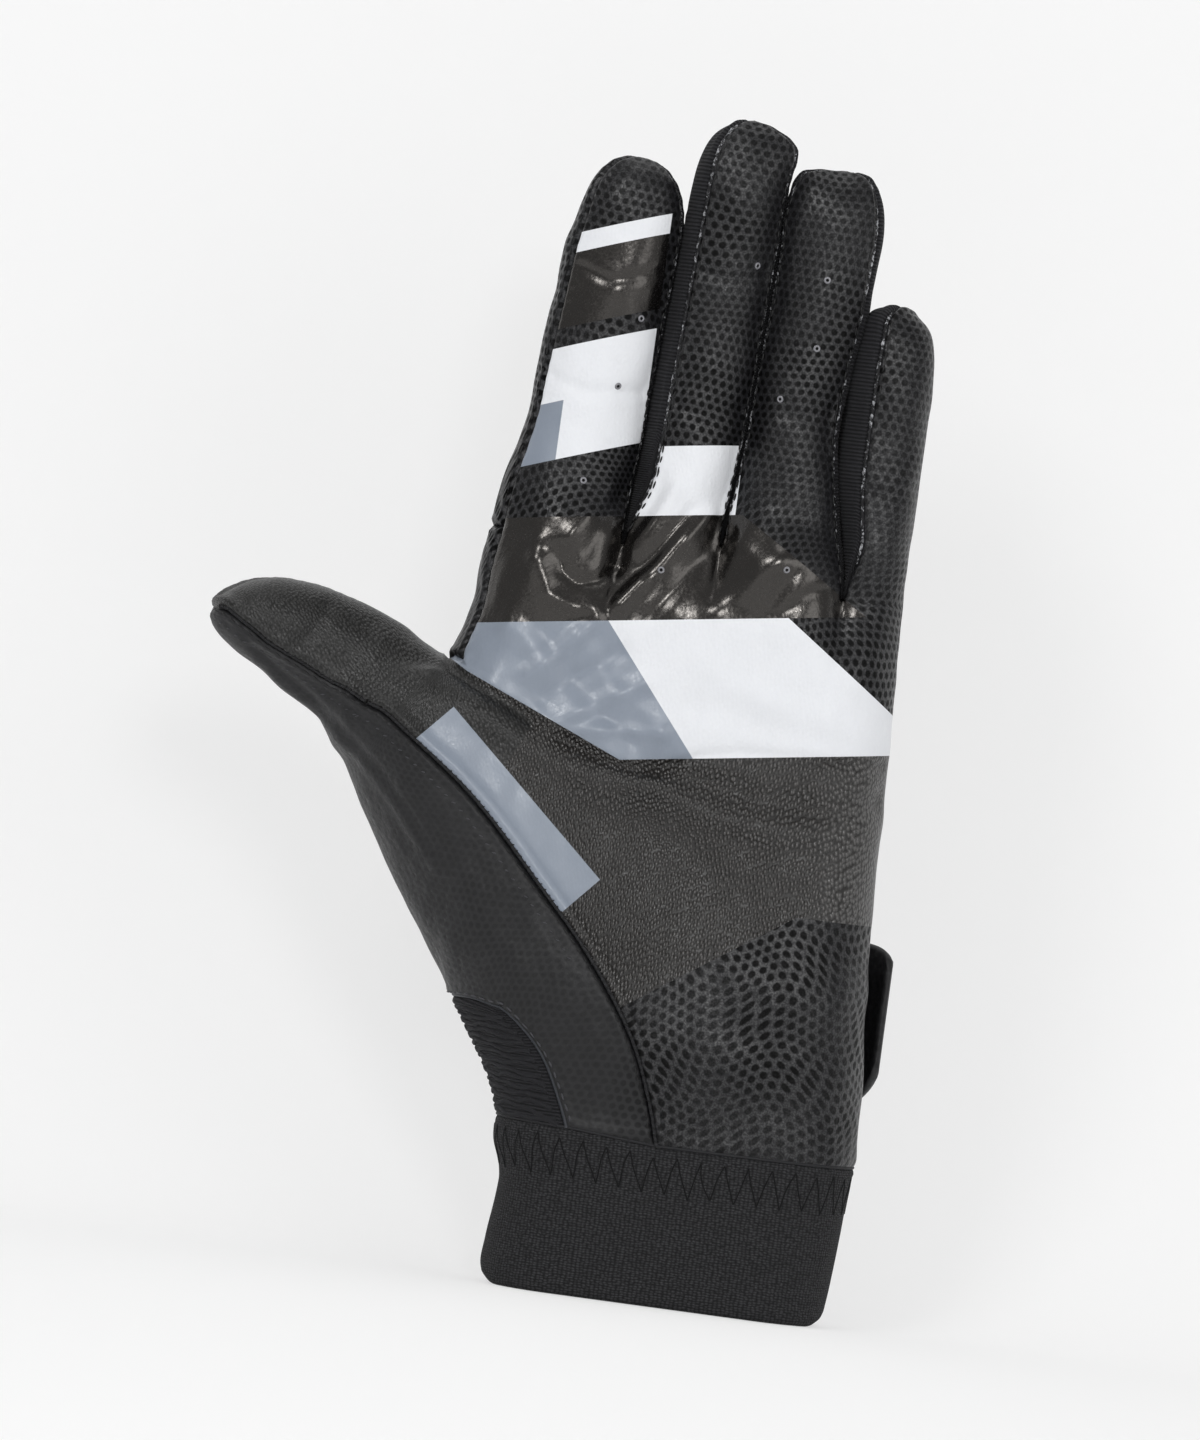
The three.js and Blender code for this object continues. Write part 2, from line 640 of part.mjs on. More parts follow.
thumbStations.forEach((along, row) => {
  const section = thumbSection(along);
  const turned = smooth(along / thumbFade);
  const ring = thumbRing.map((_, i) => {
    const point = thumbPoint(section, mix(rootAngles[i], thumbAngles[i], turned));
    point.addScaledVector(thumbShifts[i], 1 - turned);
    return addPoint(point.x, point.y, point.z);
  });
  addBand(lowRing, ring, (step) => panelOfThumb(step, row >= thumbLowerRows));
  lowRing = ring;
});
const thumbEnd = thumbPoint(thumbSection(thumbLength), 0);
const thumbPole = addPoint(thumbEnd.x, thumbEnd.y, thumbEnd.z);
addBand(lowRing, lowRing.map(() => thumbPole), (step) => panelOfThumb(step, true));

// The cuff: the hand's lowest ring, carried down to the opening
const cuffRing = ringOf(handRows[0]);
const cuffLevels = [0, cuffHemHeight];
for (let row = 1; row <= cuffRows; row += 1) {
  cuffLevels.push(mix(cuffHemHeight, cuffHeight - cuffTapeHeight, row / cuffRows));
}
const cuffIds = cuffLevels.map((level) => {
  const waist = Math.sin((level / cuffHeight) * Math.PI);
  const narrow = mix(1, cuffWaistWidth / cuffWidth, waist);
  return cuffRing.map((id) => {
    const { x, y, z } = skin.points[id];
    return addPoint(x * narrow, y * narrow, z * (level / cuffHeight));
  });
});
cuffIds.push(cuffRing);
for (let row = 0; row < cuffIds.length - 1; row += 1) {
  addBand(cuffIds[row], cuffIds[row + 1], (step) => {
    const place = columnCount * 2 - 1 - step;
    const slit = step >= columnCount ? panelInSlit(place) : null;
    if (slit) return slit;
    if (row === 0) return "cuff_hem";
    return row === cuffIds.length - 2 ? "cuff_tape" : "cuff_band";
  });
}

// Outward direction at each point of the whole skin
const normals = skin.points.map(() => new THREE.Vector3());
skin.faces.forEach(({ corners }) => {
  const [a, b, c] = corners.map((id) => skin.points[id]);
  const normal = b.clone().sub(a).cross(c.clone().sub(a));
  corners.forEach((id) => normals[id].add(normal));
});
const hemIds = new Set(cuffIds[0]);
hemIds.forEach((id) => normals[id].setZ(0));
normals.forEach((normal) => normal.normalize());

// The corners of the side strips in the crotches, which draw back further than the seams
const webCorners = new Set(webIds.flatMap((ids) => [ids[0], ids[ids.length - 1]]));

// A sharp corner draws back along its bisector, but by no more than this share allows
const sharpestCornerShare = 1 / 3;

// A closed wall from a patch of outer faces
function wallGeometry(points, outward, faces, thickness, { deepCorners, openRim } = {}) {
  const outer = new Map();
  const edges = new Map();
  faces.forEach((face) => {
    face.forEach((id, i) => {
      outer.set(id, points[id]);
      edges.set(`${id}_${face[(i + 1) % 3]}`, [id, face[(i + 1) % 3], face]);
    });
  });
  const rim = [...edges.values()].filter(([a, b]) => !edges.has(`${b}_${a}`));
  const draws = new Map();
  const sewn = rim.filter(([a, b]) => !(openRim && openRim.has(a) && openRim.has(b)));
  sewn.forEach(([a, b, face]) => {
    const [p, q, r] = face.map((id) => points[id]);
    const normal = q.clone().sub(p).cross(r.clone().sub(p)).normalize();
    const inward = normal.cross(points[b].clone().sub(points[a]).normalize());
    [a, b].forEach((id) => {
      if (!draws.has(id)) draws.set(id, []);
      draws.get(id).push(inward);
    });
  });
  const place = new Map();
  outer.forEach((point, id) => {
    const moved = point.clone();
    const ways = draws.get(id);
    if (ways) {
      const sum = ways.reduce((total, way) => total.add(way), new THREE.Vector3());
      const facing = Math.max(sum.length() / ways.length, sharpestCornerShare);
      const gap = deepCorners && deepCorners.has(id) ? crotchGap : seamGap;
      if (sum.length() > 0) moved.addScaledVector(sum.normalize(), gap / 2 / facing);
    }
    place.set(id, { outer: moved, inner: moved.clone().addScaledVector(outward[id], -thickness) });
  });
  const positions = [];
  const emit = (...corners) => {
    corners.forEach((corner) => positions.push(corner.x, corner.y, corner.z));
  };
  faces.forEach(([a, b, c]) => {
    emit(place.get(a).outer, place.get(b).outer, place.get(c).outer);
    emit(place.get(c).inner, place.get(b).inner, place.get(a).inner);
  });
  rim.forEach(([a, b]) => {
    const [from, to] = [place.get(a), place.get(b)];
    if (a < b) {
      emit(from.outer, from.inner, to.inner);
      emit(from.outer, to.inner, to.outer);
    } else {
      emit(from.outer, from.inner, to.outer);
      emit(from.inner, to.inner, to.outer);
    }
  });
  const geometry = new THREE.BufferGeometry();
  geometry.setAttribute("position", new THREE.Float32BufferAttribute(positions, 3));
  geometry.computeVertexNormals();
  return geometry;
}

const group = new THREE.Group();
function addPiece(name, geometry, color, roughness) {
  const material = new THREE.MeshStandardMaterial({ color, roughness, metalness: 0 });
  const mesh = new THREE.Mesh(geometry, material);
  mesh.name = name;
  group.add(mesh);
}

const cuffPieces = ["cuff_band", "cuff_hem"];
const palmNames = /^palm_panel$|_front$/;
const sideNames = /fourchette|_left$|_right$/;
const finishes = [
  { match: (name) => palmNames.test(name), color: palmLeather, roughness: 0.45 },
  { match: (name) => sideNames.test(name), color: blackStretch, roughness: 0.85 },
  { match: (name) => cuffPieces.includes(name), color: blackStretch, roughness: 0.9 },
  { match: (name) => name.includes("gusset"), color: blackStretch, roughness: 0.9 },
  { match: () => true, color: charcoal, roughness: 0.6 },
];
const stretchNames = /fourchette|_left$|_right$|gusset|flex/;
function thicknessOf(name) {
  if (cuffPieces.includes(name)) return cuffThickness;
  return stretchNames.test(name) ? stretchThickness : leatherThickness;
}
const panels = new Map();
skin.faces.forEach(({ corners, panel }) => {
  if (!panels.has(panel)) panels.set(panel, []);
  panels.get(panel).push(corners);
});
panels.forEach((faces, name) => {
  const finish = finishes.find(({ match }) => match(name));
  const deepCorners = name.endsWith("fourchette") ? webCorners : undefined;
  const options = { deepCorners, openRim: hemIds };
  const geometry = wallGeometry(skin.points, normals, faces, thicknessOf(name), options);
  addPiece(name, geometry, finish.color, finish.roughness);
});

// The strap lies over the back of the wrist. Its base is the back of the hand at its lower and
// upper edge, so it leans with the hand; past the little finger's side it turns round the wrist.
const strapLowerEdge = cuffHeight + strapAboveCuff;
const strapTop = strapLowerEdge + strapHeight;
const strapMiddle = strapLowerEdge + strapHeight / 2;
const strapEndX = rails.littleSide.at(1 / 2)[0] + strapReachBeyondEdge;
const strapTurnRadius = edgeRadius + strapReachBeyondEdge;
const flatLength = strapEndX - strapTurnRadius - strapHingeX;
const strapLength = flatLength + strapTurnRadius * strapEndTurn * degrees;
const backDepthAt = (z) => handY([strapHingeX, z], 1);
const strapFootDepth = backDepthAt(strapLowerEdge);
const strapTopDepth = backDepthAt(strapTop);
const strapDepthAt = (z) => mix(strapFootDepth, strapTopDepth, (z - strapLowerEdge) / strapHeight);

function strapBase(along, z) {
  const depth = strapDepthAt(z);
  if (along <= flatLength) return new THREE.Vector3(strapHingeX + along, depth, z);
  const turn = (along - flatLength) / strapTurnRadius;
  return new THREE.Vector3(
    strapHingeX + flatLength + strapTurnRadius * Math.sin(turn),
    depth * Math.cos(turn),
    z,
  );
}
const backSurface = (x, z) => new THREE.Vector3(x, handY([x, z], 1), z);

// How finely a plate feels which way its surface faces, as a share of the strap's thickness
const surfaceStepShare = 1 / 8;

// A piece of even thickness that follows a surface at a given height above it. The surface's
// first direction runs along +X and its second along +Z, so that its outside faces +Y.
function plateGeometry({ surface, starts, ends, columns, rows, height, thickness, reach }) {
  const step = strapThickness * surfaceStepShare;
  const lifted = (u, v, lift) => {
    const here = surface(u, v);
    const alongU = surface(u + step, v).sub(surface(u - step, v));
    const alongV = surface(u, v + step).sub(surface(u, v - step));
    return here.addScaledVector(alongV.cross(alongU).normalize(), lift);
  };
  const points = [];
  const outward = [];
  const faces = [];
  for (let i = 0; i <= columns; i += 1) {
    for (let j = 0; j <= rows; j += 1) {
      const u = mix(starts[0], ends[0], i / columns);
      const half = reach(u);
      const v = mix((starts[1] + ends[1]) / 2 - half, (starts[1] + ends[1]) / 2 + half, j / rows);
      const top = lifted(u, v, height(u) + thickness);
      const bottom = lifted(u, v, height(u));
      points.push(top);
      outward.push(top.clone().sub(bottom).normalize());
    }
  }
  const id = (i, j) => i * (rows + 1) + j;
  for (let i = 0; i < columns; i += 1) {
    for (let j = 0; j < rows; j += 1) {
      faces.push([id(i, j), id(i + 1, j + 1), id(i + 1, j)]);
      faces.push([id(i, j), id(i, j + 1), id(i + 1, j + 1)]);
    }
  }
  return wallGeometry(points, outward, faces, thickness);
}

const padStack = padGap + loopThickness + padGap + hookThickness + padGap;
const strapLift = (along) => mix(padGap, padStack, smooth(along / strapRiseLength));
const alongAt = (x) => x - strapHingeX;
const evenReach = (height) => () => height / 2;
const strapRoundLength = strapHeight / 2;
function strapReach(along) {
  const into = Math.max((along - strapLength + strapRoundLength) / strapRoundLength, 0);
  const rounding = Math.sqrt(Math.max(1 - into * into, 0));
  return (strapHeight / 2) * Math.max(rounding, strapEndWidthShare);
}
addPiece("wrist_strap", plateGeometry({
  surface: strapBase,
  starts: [strapHingeGap, strapLowerEdge],
  ends: [strapLength, strapTop],
  columns: strapColumns,
  rows: strapRows,
  height: strapLift,
  thickness: strapThickness,
  reach: strapReach,
}), charcoal, 0.6);
addPiece("strap_hook_pad", plateGeometry({
  surface: strapBase,
  starts: [alongAt(padStartX), strapMiddle - hookPadHeight / 2],
  ends: [alongAt(padStartX) + hookPadLength, strapMiddle + hookPadHeight / 2],
  columns: padColumns,
  rows: padRows,
  height: () => padStack - padGap - hookThickness,
  thickness: hookThickness,
  reach: evenReach(hookPadHeight),
}), blackStretch, 0.95);
addPiece("strap_pull_tab", plateGeometry({
  surface: strapBase,
  starts: [strapLength - tabLength - tabInset, strapMiddle - tabHeight / 2],
  ends: [strapLength - tabInset, strapMiddle + tabHeight / 2],
  columns: padColumns,
  rows: padRows,
  height: () => padStack + strapThickness + padGap,
  thickness: tabThickness,
  reach: evenReach(tabHeight),
}), "#4a4b4f", 0.5);
addPiece("back_loop_pad", plateGeometry({
  surface: backSurface,
  starts: [padStartX, strapMiddle - loopPadHeight / 2],
  ends: [padStartX + loopPadLength, strapMiddle + loopPadHeight / 2],
  columns: padColumns,
  rows: padRows,
  height: () => padGap,
  thickness: loopThickness,
  reach: evenReach(loopPadHeight),
}), blackStretch, 0.95);
addPiece("strap_anchor", plateGeometry({
  surface: backSurface,
  starts: [strapHingeX - strapAnchorLength, strapLowerEdge],
  ends: [strapHingeX, strapTop],
  columns: padColumns,
  rows: strapRows,
  height: () => padGap,
  thickness: strapThickness,
  reach: evenReach(strapHeight),
}), charcoal, 0.6);

export default group;
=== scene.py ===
# %% [markdown]
# # A left-hand batting glove, seen from the palm
# The glove is leather and stretch fabric sewn over a hand shape. The imported model gives the frame:
# it has the true size, the joints and one plain solid for each panel. This notebook dresses that
# frame. Each sewn panel is made again as a fine closed wall with rolled seams, folds and stitches;
# the pieces of the hand and the strap ride on the body that carries them.

# %% Load the imported frame
import math

import bpy
import numpy as np
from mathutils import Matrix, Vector, kdtree


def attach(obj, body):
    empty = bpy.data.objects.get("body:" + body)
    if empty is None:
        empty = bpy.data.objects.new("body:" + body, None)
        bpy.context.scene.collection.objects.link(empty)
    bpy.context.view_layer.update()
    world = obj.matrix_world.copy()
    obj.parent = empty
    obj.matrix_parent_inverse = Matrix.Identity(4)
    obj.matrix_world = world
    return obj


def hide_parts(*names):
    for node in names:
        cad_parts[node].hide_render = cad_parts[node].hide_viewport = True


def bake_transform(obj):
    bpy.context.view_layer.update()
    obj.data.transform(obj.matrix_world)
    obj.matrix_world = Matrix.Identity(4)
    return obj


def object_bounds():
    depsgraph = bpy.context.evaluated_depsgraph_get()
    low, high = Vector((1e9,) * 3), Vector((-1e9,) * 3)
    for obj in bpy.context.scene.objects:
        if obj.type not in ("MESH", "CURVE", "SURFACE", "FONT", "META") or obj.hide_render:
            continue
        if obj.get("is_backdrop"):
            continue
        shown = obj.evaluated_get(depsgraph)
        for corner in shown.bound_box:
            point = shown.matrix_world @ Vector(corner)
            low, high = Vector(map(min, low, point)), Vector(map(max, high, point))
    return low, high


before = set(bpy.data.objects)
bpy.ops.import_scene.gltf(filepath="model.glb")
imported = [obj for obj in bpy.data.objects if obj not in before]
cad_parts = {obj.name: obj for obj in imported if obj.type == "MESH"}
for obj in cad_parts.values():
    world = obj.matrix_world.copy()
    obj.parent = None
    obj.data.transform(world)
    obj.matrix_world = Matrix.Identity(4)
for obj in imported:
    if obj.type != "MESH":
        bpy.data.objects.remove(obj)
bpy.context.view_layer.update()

MM = 0.001

# %% [markdown]
# ## The camera, the light and the room
# The photograph is taken square to the palm with a long lens, and the glove is turned a few degrees
# in the picture. A long lens keeps the two sides parallel. The camera comes first, because it
# settles which details are seen. The room is a pale wall that curves into a pale floor, close
# behind the glove, so that the soft shadow beside the glove shows as it does in the photograph.

# %% Camera at the photograph's angle
PICTURE_HEIGHT = 288 * MM
PICTURE_CENTRE = Vector((-26.2 * MM, 0, 113.1 * MM))
PICTURE_TURN = math.radians(7.76)
CAMERA_DISTANCE = 2.4
SENSOR = 36.0

camera_data = bpy.data.cameras.new("camera")
camera_data.sensor_width = SENSOR
camera_data.lens = SENSOR * CAMERA_DISTANCE / PICTURE_HEIGHT
camera_data.clip_end = 20
camera = bpy.data.objects.new("camera", camera_data)
bpy.context.scene.collection.objects.link(camera)
camera.location = PICTURE_CENTRE - Vector((0, CAMERA_DISTANCE, 0))
camera.rotation_mode = "XYZ"
camera.rotation_euler = (math.pi / 2, -PICTURE_TURN, 0)
bpy.context.scene.camera = camera
bpy.context.scene.view_settings.view_transform = "Standard"
print("lens in mm:", round(camera_data.lens, 1))


# %% Colours and nodes
def linear(hex_colour):
    """An sRGB hex colour as the linear RGBA that a shader reads."""
    parts = [int(hex_colour[i : i + 2], 16) / 255 for i in (1, 3, 5)]
    return [c / 12.92 if c <= 0.04045 else ((c + 0.055) / 1.055) ** 2.4 for c in parts] + [1.0]


def add(tree, kind, inputs=None, **settings):
    """Adds a node with its settings, values and links. A node as a value gives its first output."""
    made = tree.nodes.new(kind)
    for key, value in settings.items():
        setattr(made, key, value)
    for socket, value in (inputs or {}).items():
        if isinstance(value, bpy.types.Node):
            value = value.outputs[0]
        if isinstance(value, bpy.types.NodeSocket):
            tree.links.new(value, made.inputs[socket])
        else:
            made.inputs[socket].default_value = value
    return made


def new_material(name):
    """An empty material with its tree and its output node."""
    made = bpy.data.materials.new(name)
    made.use_nodes = True
    made.node_tree.nodes.clear()
    return made, made.node_tree, made.node_tree.nodes.new("ShaderNodeOutputMaterial")


# %% Room: one curved sheet for wall and floor
WALL_Y, FLOOR_Z = 95 * MM, -1.3 * MM
ROOM_WIDTH, ROOM_HEIGHT, ROOM_DEPTH, COVE = 3.0, 2.2, 3.2, 80 * MM
COVE_STEPS = 12
WALL_COLOUR = "#f1f1f1"
STEADY_COLOUR, STEADY_SHARE = "#fafafa", 0.6

profile = [(-ROOM_DEPTH, FLOOR_Z), (WALL_Y - COVE, FLOOR_Z)]
for i in range(1, COVE_STEPS + 1):
    turn = math.pi / 2 * i / COVE_STEPS
    profile.append((WALL_Y - COVE + COVE * math.sin(turn), FLOOR_Z + COVE - COVE * math.cos(turn)))
profile.append((WALL_Y, ROOM_HEIGHT))
room_mesh = bpy.data.meshes.new("room")
room_points = [(x, y, z) for y, z in profile for x in (-ROOM_WIDTH / 2, ROOM_WIDTH / 2)]
room_faces = [(2 * i, 2 * i + 1, 2 * i + 3, 2 * i + 2) for i in range(len(profile) - 1)]
room_mesh.from_pydata(room_points, [], room_faces)
for face in room_mesh.polygons:
    face.use_smooth = True
room = bpy.data.objects.new("room", room_mesh)
bpy.context.scene.collection.objects.link(room)
room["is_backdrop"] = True

paper, tree, output = new_material("matt_white_paper")
# The eye sees the sheet's own light mixed with a steady white, which softens the shadow. Seen from
# behind, the sheet lets the light and the eye through.
rays = add(tree, "ShaderNodeLightPath").outputs
seen = rays["Is Camera Ray"]
for ray in ("Is Glossy Ray", "Is Transmission Ray"):
    seen = add(tree, "ShaderNodeMath", {0: seen, 1: rays[ray]}, operation="MAXIMUM")
steady = add(tree, "ShaderNodeMath", {0: seen, 1: STEADY_SHARE}, operation="MULTIPLY")
lit = add(tree, "ShaderNodeBsdfDiffuse", {"Color": linear(WALL_COLOUR)})
white = add(tree, "ShaderNodeEmission", {"Color": linear(STEADY_COLOUR), "Strength": 1.0})
sheet = add(tree, "ShaderNodeMixShader", {0: steady, 1: lit, 2: white})
clear = add(tree, "ShaderNodeBsdfTransparent")
side = add(tree, "ShaderNodeNewGeometry")
choice = add(tree, "ShaderNodeMixShader", {0: side.outputs["Backfacing"], 1: sheet,
                                           2: clear})
tree.links.new(choice.outputs[0], output.inputs["Surface"])
room_mesh.materials.append(paper)
print("room faces:", len(room_faces))

# %% Lamps and sky
SKY_STRENGTH = 0.4
LAMPS = [
    # name, place in metres, size in metres, power in watts
    ("key", (-0.8, -1.5, 1.1), 0.55, 9.5),
    ("front", (0.22, -1.9, 0.62), 0.35, 6.5),
    ("fill", (1.1, -1.2, 0.5), 0.9, 4.0),
    ("top", (0.0, -0.3, 1.7), 0.8, 3.0),
]
world = bpy.data.worlds.new("studio")
bpy.context.scene.world = world
world.use_nodes = True
sky = world.node_tree.nodes["Background"]
sky.inputs["Color"].default_value = linear("#ffffff")
sky.inputs["Strength"].default_value = SKY_STRENGTH
for name, place, size, power in LAMPS:
    lamp_data = bpy.data.lights.new(name, "AREA")
    lamp_data.shape, lamp_data.size, lamp_data.energy = "DISK", size, power
    lamp = bpy.data.objects.new(name, lamp_data)
    bpy.context.scene.collection.objects.link(lamp)
    lamp.location = place
    aim = Vector((0, 0, 0.12)) - Vector(place)
    lamp.rotation_mode = "QUATERNION"
    lamp.rotation_quaternion = aim.to_track_quat("-Z", "Y")
print("lamps:", len(LAMPS))

# %% [markdown]
# ## The skin of the glove
# All panels are faces of one skin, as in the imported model: rings round the cuff, the hand, the
# thumb and the four fingers, which share their points where they meet. The skin is made here from
# the same sizes and the same outlines, but about eight times finer, so that a seam can roll and a
# fold can bend. Numbers in these tables are millimetres, degrees, or shares of the palm.

# %% Sizes of the glove, in millimetres
CUFF_HEIGHT, HEM_HEIGHT, TAPE_HEIGHT = 30.5, 5.0, 2.2
# Places of the cuff's left and right sides at heights above its opening
CUFF_LEFT = [(0, -35.2), (3, -35.5), (7, -35.1), (11, -34.6), (15, -34.2), (19, -33.9), (22.5, -34.6),
             (26, -36.2), (30.5, -36.3)]
CUFF_RIGHT = [(0, 34.0), (8.4, 34.8), (16.5, 35.3), (24.7, 35.8), (30.5, 36.3)]
CUFF_CORNER, CUFF_LIFT, HEM_DROP = 3.0, 0.85, 1.1
CUFF_DEPTHS, PALM_DEPTHS = {-1: 17.5, 1: 15.0}, {-1: 14.0, 1: 13.5}
PALM_WIDTH, PALM_HEIGHT = 84.0, 119.5
EDGE_RADIUS = 15.0
THENAR_RISE, THENAR_SPREAD = 6.0, 17.0
HEEL_RISE, HEEL_SPREAD = 2.5, 22.0
CROTCH_FRONT, CROTCH_BACK, CROTCH_FADE, PALM_FADE = 7.5, 7.0, 13.0, 17.0
FINGER_CURL, DOME_POWER, DOME_CROWDING = 5.0, 2.3, 1.2

RAIL_SHARES = {
    "thumb_side": [(-0.43, 0.015), (-0.45, 0.06), (-0.497, 0.12), (-0.568, 0.193), (-0.685, 0.317),
                   (-0.8, 0.44), (-0.9, 0.56)],
    "thumb_seam": [(-0.045, 0), (-0.07, 0.06), (-0.135, 0.17), (-0.26, 0.295), (-0.4, 0.4),
                   (-0.594, 0.537), (-0.809, 0.648)],
    "gusset_seam": [(-0.257, 0.012), (-0.285, 0.055), (-0.335, 0.12), (-0.405, 0.175),
                    (-0.5, 0.245), (-0.62, 0.38), (-0.857, 0.601)],
    "fork_front": [(0.07, 0), (-0.02, 0.26), (-0.14, 0.48), (-0.36, 0.65), (-0.69, 0.765)],
    "back_seam": [(-0.31, 0.005), (-0.34, 0.12), (-0.41, 0.26), (-0.53, 0.42), (-0.809, 0.648)],
    "back_gusset": [(-0.36, 0.01), (-0.4, 0.13), (-0.48, 0.26), (-0.6, 0.4), (-0.857, 0.601)],
    "fork_back": [(-0.2, 0.005), (-0.24, 0.3), (-0.32, 0.52), (-0.48, 0.69), (-0.69, 0.765)],
    "little_side": [(0.433, 0.005), (0.427, 0.11), (0.411, 0.28), (0.397, 0.38), (0.391, 0.5),
                    (0.389, 0.585)],
    "index_side": [(-0.69, 0.765), (-0.63, 0.99)],
    "little_top": [(0.389, 0.585), (0.366, 0.95)],
    "thenar": [(-0.12, 0.1), (-0.42, 0.38), (-0.72, 0.6)],
    "crotches": [(-0.63, 0.99), (-0.316, 0.99), (-0.083, 1.01), (0.219, 0.945), (0.366, 0.95)],
    "heel": [(0.24, 0.3)],
}
SLIT_SHARES = [0, 0.06, 0.12, 0.18, 0.24, 0.3, 0.36, 0.405, 0.49, 0.575, 0.62, 0.68, 0.74, 0.8,
               0.86, 0.92, 0.96, 1]
FINGERS = [
    dict(name="index", knuckle_x=-36.9, rise=28, length=76.5, lean=4.6, half=(11.7, 10.9),
         depth=(12, 10.2, 8.6), dome=16, seams=(33, 166, 228, 360)),
    dict(name="middle", knuckle_x=-14.9, rise=27, length=85, lean=2.7, half=(9.6, 9.5),
         depth=(12, 10.3, 8.7), dome=16, seams=(50, 163, 228, 312)),
    dict(name="ring", knuckle_x=4.6, rise=30, length=80.5, lean=3, half=(9.2, 9.4),
         depth=(11.8, 10, 8.4), dome=15, seams=(17, 152, 228, 312)),
    dict(name="pinky", knuckle_x=22.7, rise=26, length=59.5, lean=0, half=(8.2, 7.9),
         depth=(10.8, 9.2, 7.8), dome=13, seams=(66, 180, 222, 312)),
]
THUMB = dict(angle=143, bend=25, length=44, knuckle=16.5, half=10.2, depths=(13.4, 9.6), dome=13,
             taper=0.7, fade=15, spread=9, seams=(62, 214))
# Soft leather is slimmer towards the thumb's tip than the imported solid, and the seam climbs there:
# (length, share of the half width, shift towards the index finger), then (lengths, angles)
THUMB_TRIM = [(0, 1, 0), (5, 1, -0.1), (10.6, 0.918, 1.1), (17.7, 0.944, 0.7), (25.3, 0.923, 0.15),
              (32.2, 0.824, -0.3), (37.9, 0.747, -1.1), (41.6, 0.674, -1.95), (44, 0.62, -2.8)]
THUMB_SHORTER, SEAM_CLIMB = 1.6, ([30, 38, 44], [62, 75, 100])
GUSSET_SHARE, SLIT_SHARE, FLEX_SHARE = 3 / 9, 5 / 9, 4 / 5

# How many cells each stretch of a ring and each length of the skin has
FRONT, SIDE, BACK = 40, 14, 32
GUSSET, OUTER, INNER = 16, 30, 24
HAND_ROWS, PALM_ROWS = 150, 46
CELL = 0.62


# %% Lines and distances in the palm view
def mix(a, b, share):
    return a + (b - a) * share


def smooth(value):
    share = np.clip(value, 0, 1)
    return share * share * (3 - 2 * share)


def hump(value, width, middle=0.0):
    """1 at the middle, and falling to 0 within about two widths on either side of it."""
    return np.exp(-(((value - middle) / width) ** 2))


def places(shares):
    """Shares of the palm as plane points [x, z] in millimetres."""
    return np.array([(x * PALM_WIDTH, CUFF_HEIGHT + z * PALM_HEIGHT) for x, z in shares])


def rail(shares, per_span=80):
    """A smooth line through plane points, as (share of its length, places)."""
    knots = places(shares)
    ends = np.vstack([2 * knots[0] - knots[1], knots, 2 * knots[-1] - knots[-2]])
    t = np.linspace(0, 1, per_span, endpoint=False)[:, None]
    line = []
    for p0, p1, p2, p3 in zip(ends, ends[1:], ends[2:], ends[3:]):
        d0, d1, d2 = (np.linalg.norm(b - a) ** 0.5 for a, b in ((p0, p1), (p1, p2), (p2, p3)))
        m1 = ((p1 - p0) / d0 - (p2 - p0) / (d0 + d1) + (p2 - p1) / d1) * d1
        m2 = ((p2 - p1) / d1 - (p3 - p1) / (d1 + d2) + (p3 - p2) / d2) * d1
        cubic = 2 * p1 - 2 * p2 + m1 + m2
        line.append(p1 + m1 * t + (3 * p2 - 3 * p1 - 2 * m1 - m2) * t**2 + cubic * t**3)
    line = np.vstack([*line, knots[-1:]])
    run = np.concatenate([[0], np.cumsum(np.linalg.norm(np.diff(line, axis=0), axis=1))])
    return run / run[-1], line


def at(line, share):
    """Plane points of a rail at shares of its length."""
    return np.stack([np.interp(share, line[0], line[1][:, i]) for i in (0, 1)], -1)


def chain_distance(points, chain):
    """The shortest way from each plane point to a chain of points."""
    nearest = np.full(points.shape[:-1], np.inf)
    for start, step in zip(chain[:-1], np.diff(chain, axis=0)):
        share = np.clip(((points - start) @ step) / (step @ step), 0, 1)
        away = points - start - share[..., None] * step
        nearest = np.minimum(nearest, np.hypot(away[..., 0], away[..., 1]))
    return nearest


def rounded(away):
    share = np.minimum(away / EDGE_RADIUS, 1)
    return np.sqrt(share * (2 - share))


RAILS = {name: rail(shares) for name, shares in RAIL_SHARES.items() if len(shares) > 1}
CHAIN = np.linspace(0, 1, 25)
EDGES = {name: at(RAILS[name], CHAIN) for name in ("thumb_side", "index_side")}
EDGES["little"] = np.vstack([at(RAILS["little_side"], CHAIN), at(RAILS["little_top"], CHAIN)[1:]])
THENAR_CHAIN = places(RAIL_SHARES["thenar"])
HEEL = places(RAIL_SHARES["heel"])[0]
CROTCHES = places(RAIL_SHARES["crotches"])


def hand_y(plane, side):
    """Depth of the hand in front of (side -1) or behind (side 1) its middle plane."""
    depth = mix(CUFF_DEPTHS[side], PALM_DEPTHS[side],
                smooth((plane[..., 1] - CUFF_HEIGHT) / (PALM_HEIGHT / 2)))
    fullness = np.prod([rounded(chain_distance(plane, edge)) for edge in EDGES.values()], axis=0)
    pads = 0
    if side < 0:
        pads = THENAR_RISE * hump(chain_distance(plane, THENAR_CHAIN), THENAR_SPREAD)
        pads = pads + HEEL_RISE * hump(np.linalg.norm(plane - HEEL, axis=-1), HEEL_SPREAD)
    rising = smooth((plane[..., 1] - CUFF_HEIGHT) / CUFF_HEIGHT)
    return side * (depth * fullness + pads * fullness * rising)


print("outline lengths in mm:", {n: round(float(np.hypot(*np.diff(r[1], axis=0).T).sum()))
                                 for n, r in RAILS.items()})
